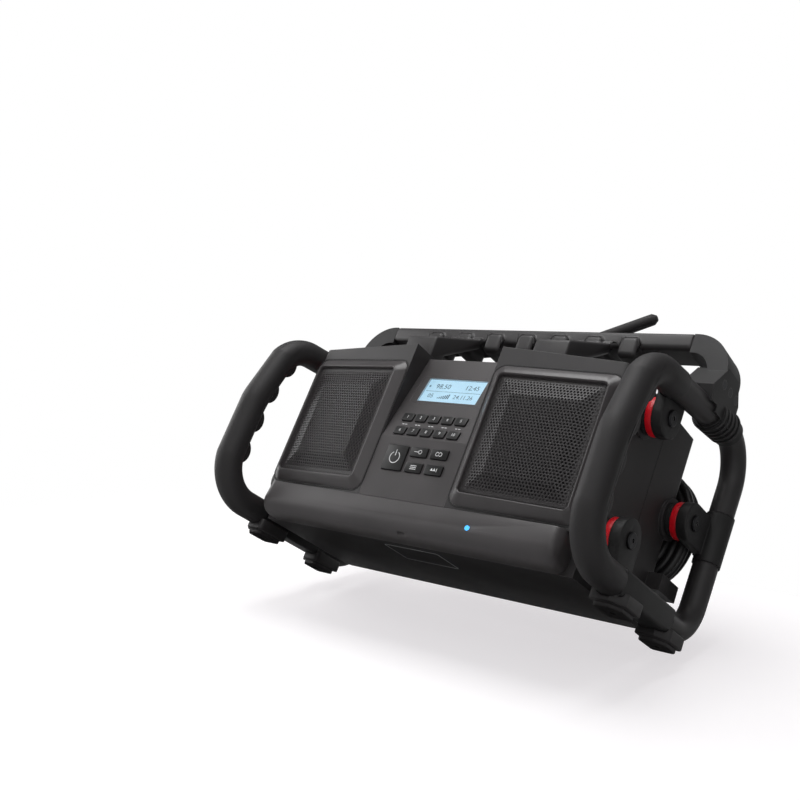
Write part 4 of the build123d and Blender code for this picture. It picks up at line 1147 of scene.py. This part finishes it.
def mark_ring(radius, line, place, on_plane, lift, gap=0.0):
    """A printed ring, open at its top by a gap angle."""
    offset = Matrix.Translation((*place, lift))
    bpy.ops.object.select_all(action="DESELECT")
    bpy.ops.mesh.primitive_circle_add(vertices=48, radius=radius, fill_type="NOTHING")
    piece = bpy.context.object
    open_all()
    bpy.ops.mesh.extrude_edges_move()
    scale = (radius - line) / radius
    bpy.ops.transform.resize(value=(scale, scale, 1), center_override=(0, 0, 0))
    bpy.ops.mesh.select_all(action="DESELECT")
    mesh = bmesh.from_edit_mesh(piece.data)
    up = Vector((0, 1, 0))
    for face in mesh.faces:
        middle = face.calc_center_median()
        face.select_set(gap > 0 and middle.angle(up) < gap / 2)
    bmesh.update_edit_mesh(piece.data)
    if gap:
        bpy.ops.mesh.delete(type="FACE")
    bpy.ops.mesh.select_all(action="SELECT")
    bpy.ops.mesh.extrude_region_move(TRANSFORM_OT_translate={"value": (0, 0, INK_THICKNESS)})
    close_all()
    return settle(piece, "ring", on_plane @ offset)


def mark_triangle(radius, place, on_plane, lift):
    """A printed arrow head."""
    offset = Matrix.Translation((*place, lift))
    return turned("arrow", [(radius, 0), (radius, INK_THICKNESS)], on_plane @ offset, 3)


class RADIO_OT_keys(bpy.types.Operator):
    """Softened keys with generic printed marks"""

    bl_idname = "radio.keys"
    bl_label = "Keys"

    STROKE = 0.75 * MM
    DASH_SHIFTS = (-1.5 * MM, 1.7 * MM)

    def execute(self, context):
        edge = context.scene.radio_sizes.key_edge
        ink = MATERIALS["legend"]
        lift = KEY_PROUD + INK_GAP
        presets = [(x, row) for row in PRESET_ROWS for x in PRESET_COLUMNS]
        for number, place in enumerate(presets, 1):
            node = f"preset_key_{number}"
            softened(node, f"key_cap_{number}", edge, MATERIALS["key"])
            mark = mark_text(str(number), 4.2 * MM, place, LEANING, lift)
            mark.name = f"figure_{number}"
            finish_piece(mark, ink, node)
        softened("power_key", "power_cap", edge, MATERIALS["key"])
        x, z = POWER_PLACE
        ring = mark_ring(5.6 * MM, self.STROKE, POWER_PLACE, UPRIGHT, lift, radians(64))
        bar = mark_bar(self.STROKE, 5.6 * MM, (x, z + 4.4 * MM), UPRIGHT, lift)
        finish_piece(joined([ring, bar], "power_mark"), ink, "power_key")
        functions = [(x, z) for z in FUNCTION_ROWS for x in FUNCTION_COLUMNS]
        for number, place in enumerate(functions, 1):
            node = f"function_key_{number}"
            softened(node, f"function_cap_{number}", edge, MATERIALS["key"])
            mark = joined(self.icon(number, *place, lift), f"function_mark_{number}")
            finish_piece(mark, ink, node)
        between = sum(PRESET_ROWS) / 2
        for number, x in enumerate(PRESET_COLUMNS, 1):
            dashes = [
                mark_bar(2.2 * MM, 0.7 * MM, (x + shift, between), LEANING, INK_GAP)
                for shift in self.DASH_SHIFTS
            ]
            finish_piece(joined(dashes, f"dash_{number}"), ink)
        return {"FINISHED"}

    @staticmethod
    def icon(number, x, z, lift):
        """Generic sign of a function key: input, two channels, list, or play."""
        if number == 1:
            return [
                mark_ring(1.9 * MM, 0.5 * MM, (x + 1.6 * MM, z), UPRIGHT, lift),
                mark_bar(4.2 * MM, 0.55 * MM, (x - 2.6 * MM, z), UPRIGHT, lift),
                mark_triangle(1.2 * MM, (x - 0.6 * MM, z), UPRIGHT, lift),
            ]
        if number == 2:
            return [
                mark_ring(1.9 * MM, 0.5 * MM, (x + right * MM, z), UPRIGHT, lift)
                for right in (-1.6, 1.6)
            ]
        if number == 3:
            return [
                mark_bar(6.4 * MM, 0.6 * MM, (x, z + up * 1.5 * MM), UPRIGHT, lift)
                for up in (-1, 0, 1)
            ]
        return [
            mark_triangle(1.7 * MM, (x - 1.6 * MM, z), UPRIGHT, lift),
            mark_triangle(1.7 * MM, (x + 1.2 * MM, z), UPRIGHT, lift),
            mark_bar(0.6 * MM, 3.0 * MM, (x + 3.6 * MM, z), UPRIGHT, lift),
        ]


class RADIO_OT_display(bpy.types.Operator):
    """Display cover, its printed border and the figures on the backlit film"""

    bl_idname = "radio.display"
    bl_label = "Display"

    WIDTH, HEIGHT, THICKNESS = 80.0 * MM, 31.0 * MM, 1.6 * MM
    # the opening, whose corners are all but sharp, and the play of the cover in it
    SEEN, CORNER, PLAY = (64.0 * MM, 26.0 * MM), 0.0005 * MM, 0.1 * MM

    def execute(self, context):
        middle = LEANING @ Matrix.Translation((0, WINDOW_MIDDLE, 0))
        film = middle @ Matrix.Translation((0, 0, -self.THICKNESS))
        wide, tall = self.SEEN
        rim = ((self.WIDTH - wide) / 2, (self.HEIGHT - tall) / 2)
        border = surround("display_border", wide, tall, rim, self.THICKNESS, self.CORNER, film)
        # the border takes the panel's grey, which is partly painted light
        finish_piece(border, MATERIALS["panel"], MAIN, "display_window")
        inset = middle @ Matrix.Translation((0, 0, -0.9 * MM))
        cover = slab("display_cover", wide - self.PLAY, tall - self.PLAY, 0.8 * MM, 0, inset)
        finish_piece(cover, MATERIALS["cover"])
        marks = self.figures(film)
        finish_piece(joined(marks, "display_figures"), MATERIALS["segment"])
        return {"FINISHED"}

    @staticmethod
    def figures(film):
        """Clock, frequency and level bars, all generic."""
        lift = 0.01 * MM
        marks = [
            mark_text(words, size * MM, (x * MM, y * MM), film, lift)
            for words, size, x, y in (
                ("98.50", 7.4, -13.5, 5.4),
                ("12:45", 7.0, 18.5, 5.4),
                ("05", 6.4, -22.0, -5.6),
                ("24.11.26", 6.2, 14.0, -5.6),
            )
        ]
        for step in range(7):
            tall = (1.2 + 0.7 * step) * MM
            place = ((-13.0 + 1.9 * step) * MM, -8.2 * MM + tall / 2)
            marks.append(mark_bar(1.1 * MM, tall, place, film, lift))
        marks.append(mark_triangle(1.5 * MM, (-28.5 * MM, 5.4 * MM), film, lift))
        marks.append(mark_bar(60.0 * MM, 0.35 * MM, (0, -0.2 * MM), film, lift))
        return marks


STEPS = ("materials", "stage", "lead", "finishes", "grips", "grilles", "rear", "keys", "display")


class RADIO_OT_materials(bpy.types.Operator):
    """Makes every finish"""

    bl_idname = "radio.materials"
    bl_label = "Materials"

    def execute(self, context):
        make_materials()
        return {"FINISHED"}


class RADIO_PT_panel(bpy.types.Panel):
    """Lists the steps and settings of the radio"""

    bl_label = "Jobsite radio"
    bl_idname = "RADIO_PT_panel"
    bl_space_type = "VIEW_3D"
    bl_region_type = "UI"
    bl_category = "Radio"

    def draw(self, context):
        layout = self.layout
        for group in (context.scene.radio_sizes, context.scene.radio_colours):
            for name in group.__annotations__:
                layout.prop(group, name)
        for step in STEPS:
            layout.operator(f"radio.{step}")


CLASSES = (
    RadioColours,
    RadioSizes,
    RADIO_OT_materials,
    RADIO_OT_stage,
    RADIO_OT_lead,
    RADIO_OT_finishes,
    RADIO_OT_grips,
    RADIO_OT_grilles,
    RADIO_OT_rear,
    RADIO_OT_keys,
    RADIO_OT_display,
    RADIO_PT_panel,
)


def register():
    """Registers the classes and the settings."""
    for item in CLASSES:
        bpy.utils.register_class(item)
    bpy.types.Scene.radio_colours = bpy.props.PointerProperty(type=RadioColours)
    bpy.types.Scene.radio_sizes = bpy.props.PointerProperty(type=RadioSizes)


def unregister():
    """Removes the settings and the classes."""
    del bpy.types.Scene.radio_sizes
    del bpy.types.Scene.radio_colours
    for item in reversed(CLASSES):
        bpy.utils.unregister_class(item)


def main():
    """Builds every piece in order."""
    register()
    for step in STEPS:
        getattr(bpy.ops.radio, step)()


if __name__ == "__main__":
    main()
